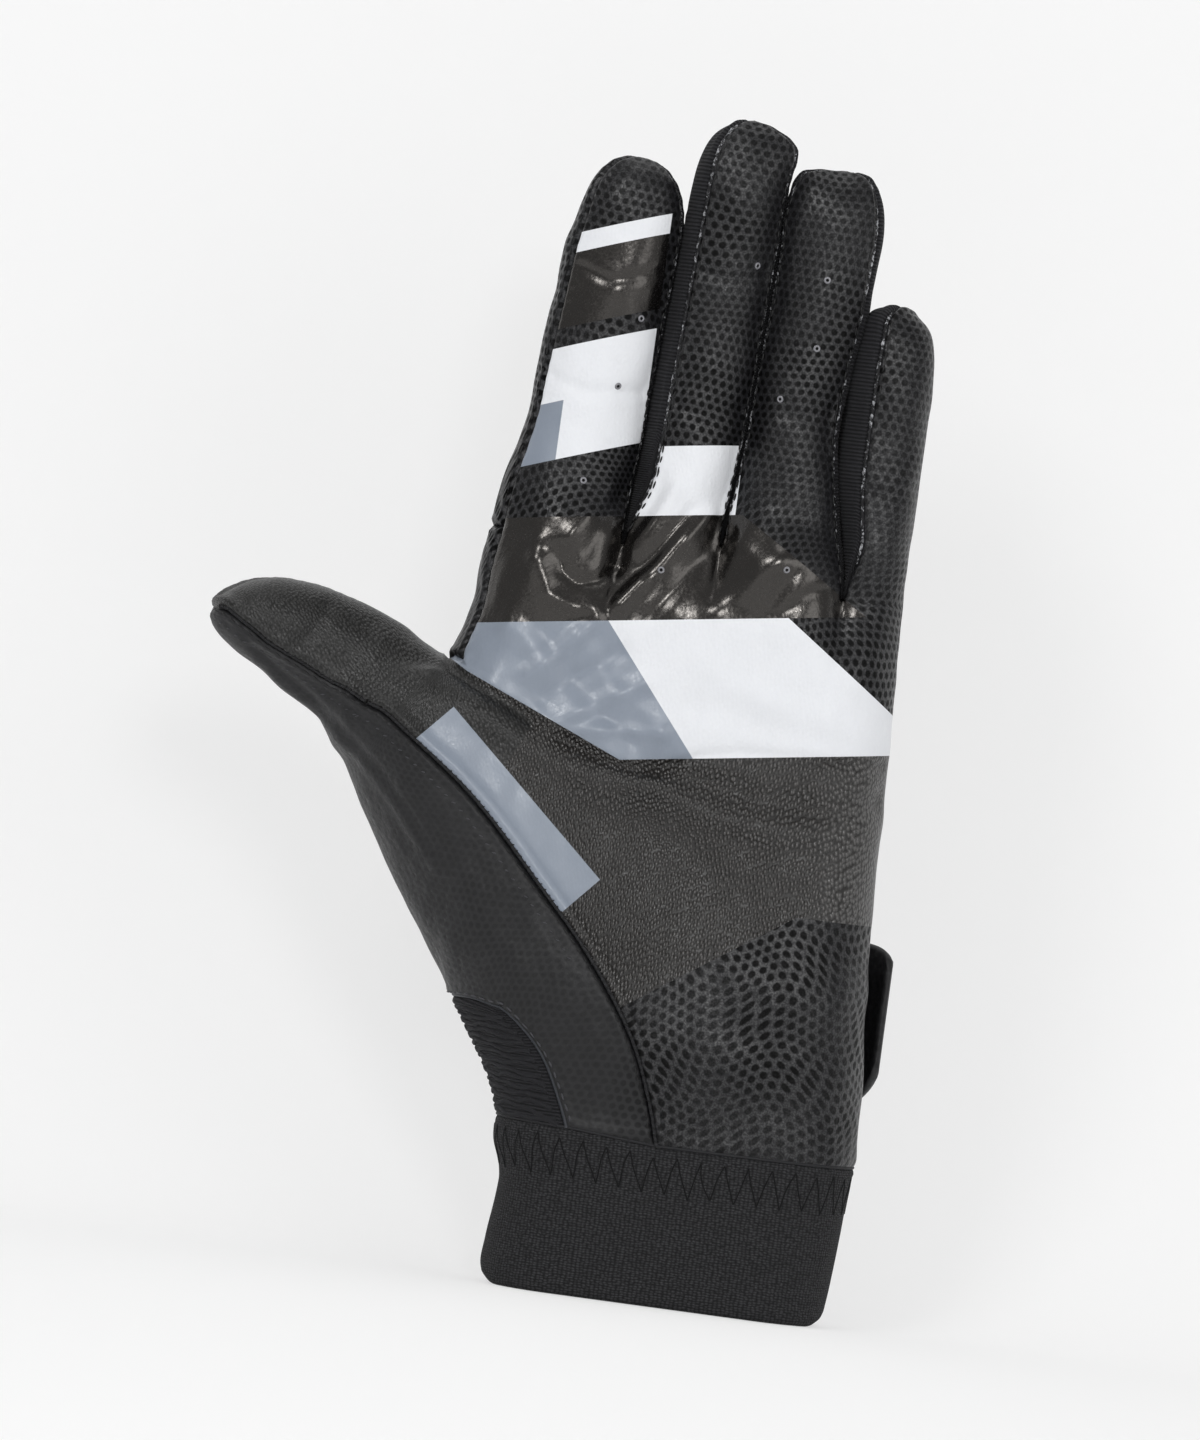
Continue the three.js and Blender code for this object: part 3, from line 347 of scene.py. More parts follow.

# %% [markdown]
# The skin keeps a list of points and a list of four-sided cells. Every cell knows its panel and its
# zone. A zone is the hand, one finger from just below its knuckle, or the thumb's end.

# %% Points and cells of the skin
PANELS = ["palm", "side", "finger_back", "back", "flex", "thumb_outer", "mesh_gusset",
          "binding_left", "binding_right", "wrist_gusset", "hem", "band", "tape"]
CODE = {name: i for i, name in enumerate(PANELS)}
ZONES = ["glove", "index", "middle", "ring", "pinky", "thumb"]
SPLIT_BELOW_KNUCKLE = 13.0
skin = {"points": [], "count": 0, "cells": [], "panel": [], "zone": []}


def add_points(xyz):
    """Adds points and returns their numbers in the same shape."""
    flat = np.asarray(xyz, float).reshape(-1, 3)
    ids = np.arange(len(flat)) + skin["count"]
    skin["points"].append(flat)
    skin["count"] += len(flat)
    return ids.reshape(np.shape(xyz)[:-1])


def add_rings(rings, panel, zone):
    """Joins each closed ring to the next one. panel and zone hold a number for each cell."""
    low, high = rings[:-1], rings[1:]
    cells = np.stack([low, np.roll(low, -1, 1), np.roll(high, -1, 1), high], -1)
    skin["cells"].append(cells.reshape(-1, 4))
    skin["panel"].append(np.broadcast_to(panel, low.shape).reshape(-1))
    skin["zone"].append(np.broadcast_to(zone, low.shape).reshape(-1))


def closing(share):
    """How wide a round tip still is at a share of its dome."""
    return np.maximum(1 - np.clip(share, 0, 1) ** DOME_POWER, 0) ** (1 / DOME_POWER)


def dome_steps(height):
    """Heights of the rings of a round tip, which crowd towards its top."""
    return height * np.sin(np.linspace(0, math.pi / 2, round(height / CELL * DOME_CROWDING))[:-1])


def section_points(left, right, depth, angles, middle):
    """Rings of points from the outline's two sides, the depth and the angles round the ring."""
    turn = np.radians(angles)
    share = ((1 - np.cos(turn)) / 2)[..., None]
    plane = mix(left[:, None], right[:, None], share)
    y = middle(plane[..., 1]) - depth[:, None] * np.sin(turn)
    return np.stack([plane[..., 0], y, plane[..., 1]], -1)


def finger_middle(z):
    above = np.maximum((z - CUFF_HEIGHT - PALM_HEIGHT) / FINGERS[1]["length"], 0)
    return -FINGER_CURL * above**2


# %% The four fingers
def finger_axis(finger):
    """The direction in which a finger points, in the palm view."""
    return np.array([math.sin(finger["tilt"]), math.cos(finger["tilt"])])


def finger_sections(finger, along):
    """Both outline points and the depth of a finger at heights above its knuckle."""
    up = finger_axis(finger)
    across = np.array([up[1], -up[0]])
    half, tip_half = finger["half"]
    base_depth, knuckle_depth, tip_depth = finger["depth"]
    share = along / finger["shaft"]
    shut = closing((along - finger["shaft"] + finger["dome"]) / finger["dome"])
    centre = finger["knuckle"] + up * along[:, None]
    width = (mix(half, tip_half, share) * shut)[:, None]
    left, right = centre - across * width, centre + across * width
    depth = mix(knuckle_depth, tip_depth, share) * shut
    low = along < 0
    rise = 1 + along / finger["rise"]
    for ends, base, sign in ((left, finger["feet"][0], -1), (right, finger["feet"][1], 1)):
        knee = finger["knuckle"] + across * half * sign
        below = mix(base, knee, rise[:, None])
        below[:, 0] = mix(base[0], knee[0], smooth(rise))
        ends[low] = below[low]
    depth[low] = mix(base_depth, knuckle_depth, rise)[low]
    return left, right, depth


webs = []
for x, z in CROTCHES[1:-1]:
    y = np.linspace(-CROTCH_FRONT, CROTCH_BACK, SIDE + 1)
    webs.append(add_points(np.stack([np.full(SIDE + 1, x), y, np.full(SIDE + 1, z)], -1)))
rings = {}
for k, finger in enumerate(FINGERS):
    finger["feet"] = CROTCHES[k], CROTCHES[k + 1]
    base = (CROTCHES[k] + CROTCHES[k + 1]) / 2
    finger["knuckle"] = np.array([finger["knuckle_x"], base[1] + finger["rise"]])
    finger["tilt"] = math.radians(finger["lean"])
    finger["shaft"] = (base[1] + finger["length"] - finger["knuckle"][1]) / math.cos(finger["tilt"])
    a, b, c, d = finger["seams"]
    counts = (FRONT, SIDE, BACK, SIDE)
    stops = ((a, b), (b, c), (c, d), (d, 360 + a))
    angles = np.concatenate([np.linspace(*s, n, endpoint=False) for s, n in zip(stops, counts)])
    starts = np.cumsum([0, *counts])
    finger["columns"] = dict(zip(("front_left", "front_right", "back_right", "back_left"), starts))
    dome_start = finger["shaft"] - finger["dome"]
    along = np.concatenate([
        np.linspace(-finger["rise"], 0, round(finger["rise"] / CELL), endpoint=False),
        np.linspace(0, dome_start, round(dome_start / CELL), endpoint=False),
        dome_start + dome_steps(finger["dome"]),
    ])
    xyz = section_points(*finger_sections(finger, along), angles, finger_middle)
    # At its foot the finger's ring is drawn to the webs, so that the seams meet in the crotches
    web_points = np.vstack(skin["points"][: len(webs)])
    pull = np.zeros_like(xyz[0])
    to_left = web_points[webs[k - 1]] if k > 0 else None
    to_right = web_points[webs[k]] if k < 3 else None
    s0, s1, s2, s3, s4 = starts
    start = to_left[0] - xyz[0, 0] if to_left is not None else np.zeros(3)
    end = to_right[0] - xyz[0, s1] if to_right is not None else np.zeros(3)
    pull[s0:s1] = mix(start, end, np.linspace(0, 1, FRONT, endpoint=False)[:, None])
    if to_right is not None:
        pull[s1:s2] = to_right[:-1] - xyz[0, s1:s2]
    start = to_right[-1] - xyz[0, s2] if to_right is not None else np.zeros(3)
    end = to_left[-1] - xyz[0, s3] if to_left is not None else np.zeros(3)
    pull[s2:s3] = mix(start, end, np.linspace(0, 1, BACK, endpoint=False)[:, None])
    if to_left is not None:
        pull[s3:s4] = to_left[:0:-1] - xyz[0, s3:s4]
    fade = 1 - smooth((along + finger["rise"]) / CROTCH_FADE)
    xyz += pull * fade[:, None, None]
    ids = add_points(xyz)
    if to_right is not None:
        ids[0, s1 : s2 + 1] = webs[k]
    if to_left is not None:
        ids[0, s3:s4] = webs[k - 1][:0:-1]
        ids[0, 0] = webs[k - 1][0]
    tip = finger_sections(finger, np.array([finger["shaft"]]))
    pole = add_points(section_points(*tip, angles[:1], finger_middle))[0, 0]
    full = np.vstack([ids, np.full(ids.shape[1], pole)])
    panel = np.full(ids.shape[1], CODE["palm"])
    panel[s1:s2] = CODE["palm"] if k == 3 else CODE["side"]
    panel[s2:s3] = CODE["finger_back"]
    panel[s3:s4] = CODE["finger_back"] if k == 0 else CODE["side"]
    zone = np.where(along >= -SPLIT_BELOW_KNUCKLE, k + 1, 0)
    add_rings(full, panel[None], zone[:, None])
    finger["along"] = along
    rings[finger["name"]] = ids
print("finger rings:", {n: r.shape for n, r in rings.items()})

# %% The hand between the cuff and the fork of the thumb
foot = {name: np.split(ids[0], [FRONT, FRONT + SIDE, FRONT + SIDE + BACK])
        for name, ids in rings.items()}
names = [finger["name"] for finger in FINGERS]
crotch_front = np.concatenate([foot["index"][3], *(foot[n][0] for n in names)])
crotch_back = np.concatenate([foot["pinky"][1], *(foot[n][2] for n in names[::-1])])
FRONT_ALL, BACK_ALL = len(crotch_front), len(crotch_back)
THUMB_ALL = GUSSET + OUTER + INNER
points = np.vstack(skin["points"])
front_x = points[[*crotch_front, crotch_back[0]], 0]
back_x = points[[*crotch_back, crotch_front[0]], 0]
front_shares = (front_x - front_x[0]) / (front_x[-1] - front_x[0])
back_shares = ((back_x - front_x[0]) / (front_x[-1] - front_x[0]))[::-1]
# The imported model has 17 columns across the back. Each fine column knows its place among them.
coarse_steps = np.cumsum([0, *[BACK] * 4, SIDE])
back_column = np.interp(np.arange(BACK_ALL + 1), coarse_steps, [0, 4, 8, 12, 16, 17])
slit_shares = np.interp(back_column, np.arange(18), SLIT_SHARES)


def strip(start, end, shares):
    """Columns from one outline to the next, as shares of the way, without the first."""
    every_row = np.broadcast_to(shares, (len(start), len(shares[0])))
    return mix(start[:, None], end[:, None], every_row[..., None])


def evenly(count):
    return np.linspace(0, 1, count + 1)[None, 1:]


def crowded(count):
    return 1 - np.cos(evenly(count) * math.pi / 2)


up = np.linspace(0, 1, HAND_ROWS + 1)
line = {name: at(RAILS[name], up) for name in RAILS}
front = np.concatenate([
    line["thumb_side"][:, None],
    strip(line["thumb_side"], line["gusset_seam"], crowded(GUSSET)),
    strip(line["gusset_seam"], line["thumb_seam"], evenly(OUTER)),
    strip(line["thumb_seam"], line["fork_front"], evenly(INNER)),
    strip(line["fork_front"], line["little_side"], front_shares[None, 1:]),
], axis=1)
slit_mix = mix(slit_shares[None], back_shares[None], up[:, None])
back = np.concatenate([
    line["thumb_side"][:, None],
    strip(line["thumb_side"], line["back_gusset"], crowded(GUSSET)),
    strip(line["back_gusset"], line["back_seam"], evenly(OUTER)),
    strip(line["back_seam"], line["fork_back"], evenly(INNER)),
    mix(line["fork_back"][:, None], line["little_side"][:, None], slit_mix[:, 1:, None]),
], axis=1)
front_y, back_y = hand_y(front, -1), hand_y(back, 1)
for depth in (front_y, back_y):
    depth[:, [0, -1]] = 0
    depth[-1, THUMB_ALL] = 0
solid = [np.stack([plane[..., 0], depth, plane[..., 1]], -1)
         for plane, depth in ((front, front_y), (back, back_y))]
ring = np.concatenate([solid[0][:, :-1], solid[1][:, :0:-1]], axis=1)
hand = add_points(ring)
LITTLE_EDGE = THUMB_ALL + FRONT_ALL
FORK_BEHIND = LITTLE_EDGE + BACK_ALL
hand[-1, FORK_BEHIND] = hand[-1, THUMB_ALL]
rings["hand"] = hand


def hand_panels(share):
    """The panel of each column of the hand's ring, at a share of the way up to the fork."""
    panel = np.full(hand.shape[1], CODE["palm"])
    gusset = CODE["mesh_gusset"] if share < GUSSET_SHARE else CODE["thumb_outer"]
    panel[:GUSSET] = panel[-GUSSET:] = gusset
    panel[GUSSET : GUSSET + OUTER] = CODE["thumb_outer"]
    panel[-GUSSET - OUTER : -GUSSET] = CODE["thumb_outer"]
    panel[LITTLE_EDGE + SIDE : FORK_BEHIND + INNER] = CODE["back"]
    if share < SLIT_SHARE:
        cell = back_column[::-1][1:]
        across = panel[LITTLE_EDGE:FORK_BEHIND]
        across[(cell >= 6) & (cell < 7)] = CODE["binding_left"]
        across[(cell >= 7) & (cell < 9)] = CODE["wrist_gusset"]
        across[(cell >= 9) & (cell < 10)] = CODE["binding_right"]
    return panel


add_rings(hand, np.array([hand_panels((row + 0.5) / HAND_ROWS) for row in range(HAND_ROWS)]), 0)

# %% The upper palm, from the fork to the crotches
below, above = hand[-1, THUMB_ALL:FORK_BEHIND], np.concatenate([crotch_front, crotch_back])
points = np.vstack(skin["points"])
share = np.linspace(0, 1, PALM_ROWS + 1)[1:-1, None, None]
top_plane = points[above][None][..., [0, 2]]
plane = mix(points[below][None][..., [0, 2]], top_plane, share)
near = 1 - smooth(np.linalg.norm(plane - top_plane, axis=-1) / PALM_FADE)
y = np.concatenate([hand_y(plane[:, :FRONT_ALL], -1), hand_y(plane[:, FRONT_ALL:], 1)], axis=1)
y = mix(y, points[above][None, :, 1], near)
y[:, [0, FRONT_ALL]] = 0
palm = add_points(np.stack([plane[..., 0], y, plane[..., 1]], -1))
palm = np.vstack([below[None], palm, above[None]])
rings["palm"] = palm
share = (np.arange(PALM_ROWS) + 0.5) / PALM_ROWS
palm_panel = np.where(share[:, None] > FLEX_SHARE, CODE["flex"], CODE["back"]) * np.ones(palm.shape[1], int)
palm_panel[:, :SIDE] = CODE["back"]
palm_panel[:, SIDE : FRONT_ALL + SIDE] = CODE["palm"]
add_rings(palm, palm_panel, 0)

# %% The thumb, an arc that starts square to its root
fork, thumb_foot = at(RAILS["fork_front"], 1), at(RAILS["thumb_side"], 1)
root_width = np.linalg.norm(fork - thumb_foot)
root_middle = (fork + thumb_foot) / 2
thumb_ids = np.concatenate([hand[-1, :THUMB_ALL], hand[-1, FORK_BEHIND : FORK_BEHIND + THUMB_ALL]])
points = np.vstack(skin["points"])
root = points[thumb_ids]
column = np.arange(2 * THUMB_ALL)
coarse = np.interp(column, np.cumsum([0, GUSSET, OUTER, INNER, INNER, OUTER, GUSSET]),
                   [0, 2, 5, 8, 11, 14, 16])
across = np.minimum(np.linalg.norm(root[:, [0, 2]] - thumb_foot, axis=1) / root_width, 1)
root_angles = np.degrees(np.arccos(1 - 2 * across))
root_angles = np.where(column <= THUMB_ALL, root_angles, 360 - root_angles)


def thumb_arc(length):
    """The heading and the middle of the thumb's outline at lengths along its arc."""
    heading = np.radians(THUMB["angle"] + THUMB["bend"] * length / THUMB["length"])
    start, radius = math.radians(THUMB["angle"]), THUMB["length"] / math.radians(THUMB["bend"])
    way = np.stack([np.sin(heading) - math.sin(start), math.cos(start) - np.cos(heading)], -1)
    return heading, root_middle + radius * way


def thumb_rings(along, angles):
    """Rings of the thumb at lengths along its arc, with an angle for each column of each ring."""
    lengths, slims, shifts = np.array(THUMB_TRIM).T
    slim, shift = np.interp(along, lengths, slims), np.interp(along, lengths, shifts)
    heading, centre = thumb_arc(along - THUMB_SHORTER * smooth(along / THUMB["length"] * 2 - 1))
    sideways = np.stack([np.sin(heading), -np.cos(heading)], -1)
    share = along / THUMB["length"]
    narrow = share ** THUMB["taper"]
    shut = closing((along - THUMB["length"] + THUMB["dome"]) / THUMB["dome"])
    half = (mix(root_width / 2, THUMB["half"], narrow) * shut * slim)[:, None]
    centre = centre + sideways * shift[:, None]
    depth = mix(*THUMB["depths"], narrow) * shut
    spread = -THUMB["spread"] * smooth(share)
    return section_points(centre - sideways * half, centre + sideways * half, depth, angles,
                          lambda z: spread[:, None])


dome_start = THUMB["length"] - THUMB["dome"]
along = np.concatenate([
    np.linspace(0, dome_start, round(dome_start / CELL), endpoint=False)[1:],
    dome_start + dome_steps(THUMB["dome"]),
])
turned = smooth(along / THUMB["fade"])[:, None]
end_angles = np.array([np.interp(coarse, [0, 5, 8, 9, 16], [0, angle, 180, THUMB["seams"][1], 360])
                       for angle in np.interp(along, *SEAM_CLIMB)])
pull = root - thumb_rings(np.zeros(1), root_angles[None])[0]
xyz = thumb_rings(along, mix(root_angles, end_angles, turned)) + pull * (1 - turned)[..., None]
thumb = np.vstack([thumb_ids[None], add_points(xyz)])
pole = add_points(thumb_rings(np.array([THUMB["length"]]), np.zeros((1, 1))))[0, 0]
panel = np.where((coarse >= 5) & (coarse < 9), CODE["palm"], CODE["thumb_outer"])
THUMB["along"] = np.concatenate([[0], along])
THUMB_SPLIT = 5.0
zone = np.where(THUMB["along"] >= THUMB_SPLIT, 5, 0)
add_rings(np.vstack([thumb, np.full(thumb.shape[1], pole)]), panel[None], zone[:, None])
rings["thumb"] = thumb

# %% The cuff, the hand's lowest ring carried down to the opening
levels = np.concatenate([
    np.linspace(0, HEM_HEIGHT, 8, endpoint=False),
    np.linspace(HEM_HEIGHT, CUFF_HEIGHT - TAPE_HEIGHT, 34, endpoint=False),
    np.linspace(CUFF_HEIGHT - TAPE_HEIGHT, CUFF_HEIGHT, 5)[:-1],
])
top = np.vstack(skin["points"])[hand[0]]
across = (top[:, 0] - top[:, 0].min()) / np.ptp(top[:, 0])
left_x = np.interp(levels, *np.array(CUFF_LEFT).T)[:, None]
right_x = np.interp(levels, *np.array(CUFF_RIGHT).T)[:, None]
x = mix(left_x, right_x, across[None])
z = top[None, :, 2] * (levels / CUFF_HEIGHT)[:, None]
# The lower corners are round, because the elastic is folded there
from_end = np.minimum(x - left_x, right_x - x)
into_corner = np.clip(1 - from_end / CUFF_CORNER, 0, 1)
down = (1 - levels / CUFF_HEIGHT)[:, None]
z += CUFF_CORNER * (1 - np.sqrt(1 - into_corner**2)) * CUFF_LIFT * down**2
z -= HEM_DROP * down
xyz = np.stack([x, np.broadcast_to(top[None, :, 1], x.shape), z], -1)
cuff = np.vstack([add_points(xyz), hand[:1]])
rings["cuff"] = cuff
row_panel = np.where(levels < HEM_HEIGHT, CODE["hem"], CODE["band"])
row_panel = np.where(levels >= CUFF_HEIGHT - TAPE_HEIGHT - 1e-6, CODE["tape"], row_panel)
slit = hand_panels(0)
in_slit = np.isin(slit, [CODE["binding_left"], CODE["wrist_gusset"], CODE["binding_right"]])
add_rings(cuff, np.where(in_slit[None], slit[None], row_panel[:, None]), 0)

P = np.vstack(skin["points"])
# The mesh gusset's upper corners are round: the grid slides along the skin round each corner
CORNER_ROWS, CORNER_COLUMNS, CORNER_SHARE = 20, 9, 0.25
corner_row = round(HAND_ROWS * GUSSET_SHARE)
count = hand.shape[1]
for column, way in ((GUSSET, 1), (count - GUSSET, -1)):
    rows = np.arange(corner_row - CORNER_ROWS, corner_row + CORNER_ROWS + 1)
    columns = np.arange(-CORNER_COLUMNS, CORNER_COLUMNS + 1)
    fall = (1 - np.abs(rows - corner_row) / CORNER_ROWS)[:, None] ** 2
    fall = fall * (1 - np.abs(columns) / CORNER_COLUMNS)[None] ** 2
    row_at = rows[:, None] - CORNER_ROWS * CORNER_SHARE * fall
    column_at = columns[None] - CORNER_COLUMNS * CORNER_SHARE * fall
    grid = P[hand[:, (column + way * np.arange(-2 * CORNER_COLUMNS, CORNER_COLUMNS + 2)) % count]]
    r0, c0 = np.floor(row_at).astype(int), np.floor(column_at + 2 * CORNER_COLUMNS).astype(int)
    fr, fc = (row_at - r0)[..., None], (column_at + 2 * CORNER_COLUMNS - c0)[..., None]
    low_side = mix(grid[r0, c0], grid[r0, c0 + 1], fc)
    high_side = mix(grid[r0 + 1, c0], grid[r0 + 1, c0 + 1], fc)
    P[hand[rows[:, None], (column + way * columns[None]) % count]] = mix(low_side, high_side, fr)
CELLS = np.vstack(skin["cells"])
PANEL = np.concatenate(skin["panel"])
ZONE = np.concatenate(skin["zone"])
USED = np.unique(CELLS)


def skin_box():
    """Two corners of the box round the skin, in millimetres."""
    return P[USED].min(0).round(1), P[USED].max(0).round(1)


print("skin:", len(P), "points,", len(CELLS), "cells, box in mm", *skin_box())

# %% [markdown]
# ## From a plain skin to sewn leather
# The skin is first smoothed a little, because leather has no kinks where two rings meet. Then each
# point moves in or out along its normal: down into the seams, up into the rolled lips beside them,
# and along the folds that a bending hand has left. This is real shape, not a pattern in a material,
# so it also shows in the outline.


# %% Smoothing and normals
def per_point(ids, values):
    """Adds up values at point numbers."""
    return np.stack([np.bincount(ids, values[:, i], len(P)) for i in range(values.shape[1])], -1)


def facing(points):
    """The outward direction at each point, from the cells round it."""
    a, b, c, d = (points[CELLS[:, i]] for i in range(4))
    normal = np.cross(c - a, d - b)
    total = sum(per_point(CELLS[:, i], normal) for i in range(4))
    return total / np.maximum(np.linalg.norm(total, axis=1, keepdims=True), 1e-9)


SMOOTHING_ROUNDS, SMOOTHING_SHARE = 7, 0.5
starts = CELLS.reshape(-1)
ends = np.roll(CELLS, -1, 1).reshape(-1)
ways = np.maximum(np.bincount(starts, minlength=len(P)) + np.bincount(ends, minlength=len(P)), 1)
hem_line = cuff[0]
for _ in range(SMOOTHING_ROUNDS):
    neighbours = (per_point(starts, P[ends]) + per_point(ends, P[starts])) / ways[:, None]
    kept = P[hem_line].copy()
    P = mix(P, neighbours, SMOOTHING_SHARE)
    P[hem_line] = kept
N = facing(P)
print("smoothed, box in mm", *skin_box())


# %% Fingers lie side by side
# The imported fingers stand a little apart. Leather is soft, so here each strip between two fingers
# swells until it touches the next one. Behind, both strips lean the same way, so no light passes.
TOUCH_GAP, LEAN_BEHIND, PINKY_PRESS = 0.08, 1.1, 0.4
RING_SWELL, RING_SWELL_FROM, RING_SWELL_REACH = 1.1, 187.0, 13.0


def silhouette(ids, side):
    """Heights and places of a finger's outermost points on its left (-1) or right (1) side."""
    x = P[ids, 0] * side
    outermost = ids[np.arange(len(ids)), x.argmax(1)]
    return P[outermost, 2], P[outermost, 0]


def swell(finger, side, growth, lean):
    """Widens one side of a finger by a growth at each height, and leans its back half over."""
    ids = rings[finger["name"]][1:].reshape(-1)
    x, y, z = P[ids].T
    heights, limit = silhouette(rings[finger["name"]], side)
    up_heights, up_order = np.unique(heights, return_index=True)
    middle = finger["knuckle"][0] + (z - finger["knuckle"][1]) * math.tan(finger["tilt"])
    edge = np.interp(z, up_heights, limit[up_order])
    share = np.clip((x - middle) / np.where(np.abs(edge - middle) > 1, edge - middle, side), 0, 1)
    P[ids, 0] += side * share**3 * growth(z) - share**2 * lean(z) * smooth((y + 3) / 8)


swell(FINGERS[2], 1, lambda z: RING_SWELL * smooth((z - RING_SWELL_FROM) / RING_SWELL_REACH),
      lambda z: 0 * z)
for (left, right), left_share in zip(zip(FINGERS, FINGERS[1:]), (0.5, 0.5, 0.0)):
    left_z, left_x = silhouette(rings[left["name"]], 1)
    right_z, right_x = silhouette(rings[right["name"]], -1)
    top = min(f["knuckle"][1] + (f["shaft"] - f["dome"]) * math.cos(f["tilt"]) for f in (left, right))
    heights = np.linspace(max(left_z[0], right_z[0]), top, 60)
    order_l, order_r = left_z.argsort(), right_z.argsort()
    gap = (np.interp(heights, right_z[order_r], right_x[order_r])
           - np.interp(heights, left_z[order_l], left_x[order_l]) - TOUCH_GAP)
    if right["name"] == "pinky":
        gap += PINKY_PRESS
    print(f"{left['name']} to {right['name']} gap in mm:", gap.min().round(2), "to", gap.max().round(2))

    def fade(z, heights=heights):
        return smooth((z - heights[0]) / 6) * (1 - smooth((z - heights[-1]) / 9))

    for finger, side, part in ((left, 1, left_share), (right, -1, 1 - left_share)):
        swell(finger, side, lambda z: part * np.interp(z, heights, gap) * fade(z),
              lambda z: LEAN_BEHIND * fade(z))
# Soft tips press together and flatten: parts, place in the palm view, push and its reach
PRESSED = [
    (("middle",), (-4.6, 230.5), (2.6, 0.9), 4.6),
    (("middle",), (-20.0, 230.0), (-0.5, 0.4), 5.0),
    (("ring",), (-1.2, 226.0), (-2.2, 2.2), 4.2),
    (("ring",), (-2.6, 219.0), (-1.1, 0.0), 5.5),
    (("middle",), (-12.0, 236.5), (0.0, 0.6), 7.0),
    (("ring",), (11.5, 226.8), (0.7, 0.6), 4.5),
    (("pinky",), (17.2, 199.8), (-0.9, 0.9), 3.2),
    (("pinky",), (26.5, 202.0), (-0.5, -0.5), 3.5),
    (("index",), (-45.8, 214.5), (0.9, 0.1), 6.0),
    (("index", "palm"), (-56.0, 132.5), (1.2, 0.0), 6.5),
]
for names_in, spot_at, push, spread_mm in PRESSED:
    ids = np.unique(np.concatenate([rings[name].reshape(-1) for name in names_in]))
    near = hump(np.linalg.norm(P[ids][:, [0, 2]] - spot_at, axis=1), spread_mm)
    P[ids, 0] += push[0] * near
    P[ids, 2] += push[1] * near
N = facing(P)

# %% Lengths along the skin, for patterns that follow it
def round_the_ring(ids, column):
    """Signed lengths round each ring from one column, which lies in the middle of the range."""
    count = ids.shape[1]
    order = (np.arange(count) + column - count // 2) % count
    steps = np.linalg.norm(np.diff(P[ids[:, order]], axis=1), axis=2)
    run = np.concatenate([np.zeros((len(ids), 1)), np.cumsum(steps, axis=1)], axis=1)
    signed = np.empty_like(run)
    signed[:, order] = run - run[:, count // 2 : count // 2 + 1]
    return signed


def up_the_columns(ids):
    steps = np.linalg.norm(np.diff(P[ids], axis=0), axis=2)
    return np.concatenate([np.zeros((1, ids.shape[1])), np.cumsum(steps, axis=0)])


U_FRONT, U_BACK, V = P[:, 0].copy(), P[:, 0].copy(), P[:, 2].copy()
for name, shift in (("cuff", THUMB_ALL), ("hand", THUMB_ALL), ("palm", 0)):
    ids = rings[name]
    middle, behind = shift + FRONT_ALL // 2, shift + FRONT_ALL + BACK_ALL // 2
    U_FRONT[ids] = P[ids[:, middle], 0][:, None] + round_the_ring(ids, middle)
    U_BACK[ids] = P[ids[:, behind], 0][:, None] - round_the_ring(ids, behind)
    V[ids] = V[ids[0]][None] + up_the_columns(ids)
for finger in FINGERS:
    ids = rings[finger["name"]]
    a, b, c, d = finger["seams"]
    middle = round((90 - a) / (b - a) * FRONT)
    behind = FRONT + SIDE + round((270 - c) / (d - c) * BACK)
    # Up the finger the pattern turns to the finger's own axis
    grown = smooth((finger["along"] + finger["rise"]) / 25)[:, None]
    low = U_FRONT[ids[0]], U_BACK[ids[0]], V[ids[0]]
    U_FRONT[ids] = mix(low[0][None], finger["knuckle"][0] + round_the_ring(ids, middle), grown)
    U_BACK[ids] = mix(low[1][None], finger["knuckle"][0] - round_the_ring(ids, behind), grown)
    own_v = low[2][middle] + up_the_columns(ids)[:, middle : middle + 1]
    V[ids] = mix(low[2][None] + up_the_columns(ids), own_v, grown)
ids = rings["thumb"]
U_FRONT[ids] = P[ids[:, GUSSET], 0][:, None] + round_the_ring(ids, GUSSET)
V[ids] = V[ids[0]][None] + up_the_columns(ids)
print("pattern lengths in mm:", U_FRONT.min().round(), U_FRONT.max().round(), V.max().round())

# %% Seams: how far each point lies from one, and what the seam joins
def lowest_and_highest(codes):
    """The least and the greatest code among the cells round each point."""
    lowest, highest = np.full(len(P), 99), np.full(len(P), -1)
    for i in range(4):
        np.minimum.at(lowest, CELLS[:, i], codes)
        np.maximum.at(highest, CELLS[:, i], codes)
    return lowest, highest


low_code, high_code = lowest_and_highest(PANEL)
on_seam = np.flatnonzero((low_code < high_code) & (high_code >= 0))
tree = kdtree.KDTree(len(on_seam))
for i, place in enumerate(P[on_seam]):
    tree.insert(place, i)
tree.balance()
AWAY, NEAREST = np.full(len(P), 99.0), np.zeros(len(P), int)
for i in USED:
    _, nearest, length = tree.find(P[i])
    AWAY[i], NEAREST[i] = length, on_seam[nearest]
LEATHER_SEAM = dict(depth=0.75, width=0.5, lip=0.3, lip_at=1.25, lip_width=0.75)
FLAT_SEAM = dict(depth=0.35, width=0.45, lip=0.08, lip_at=1.1, lip_width=0.6)
KNIT_CODES = [CODE[n] for n in ("hem", "band", "tape", "binding_left", "binding_right", "wrist_gusset")]
flat = np.isin(high_code[NEAREST], KNIT_CODES) | (high_code[NEAREST] == CODE["flex"])
# The cuff is one band of elastic, so its three lengths join without a seam
cuff_codes = [CODE["hem"], CODE["band"], CODE["tape"]]
same_band = np.isin(low_code[NEAREST], cuff_codes) & np.isin(high_code[NEAREST], cuff_codes)


def seam_height(away, seam):
    lip = seam["lip"] * hump(away, seam["lip_width"], seam["lip_at"])
    return lip - seam["depth"] * hump(away, seam["width"])


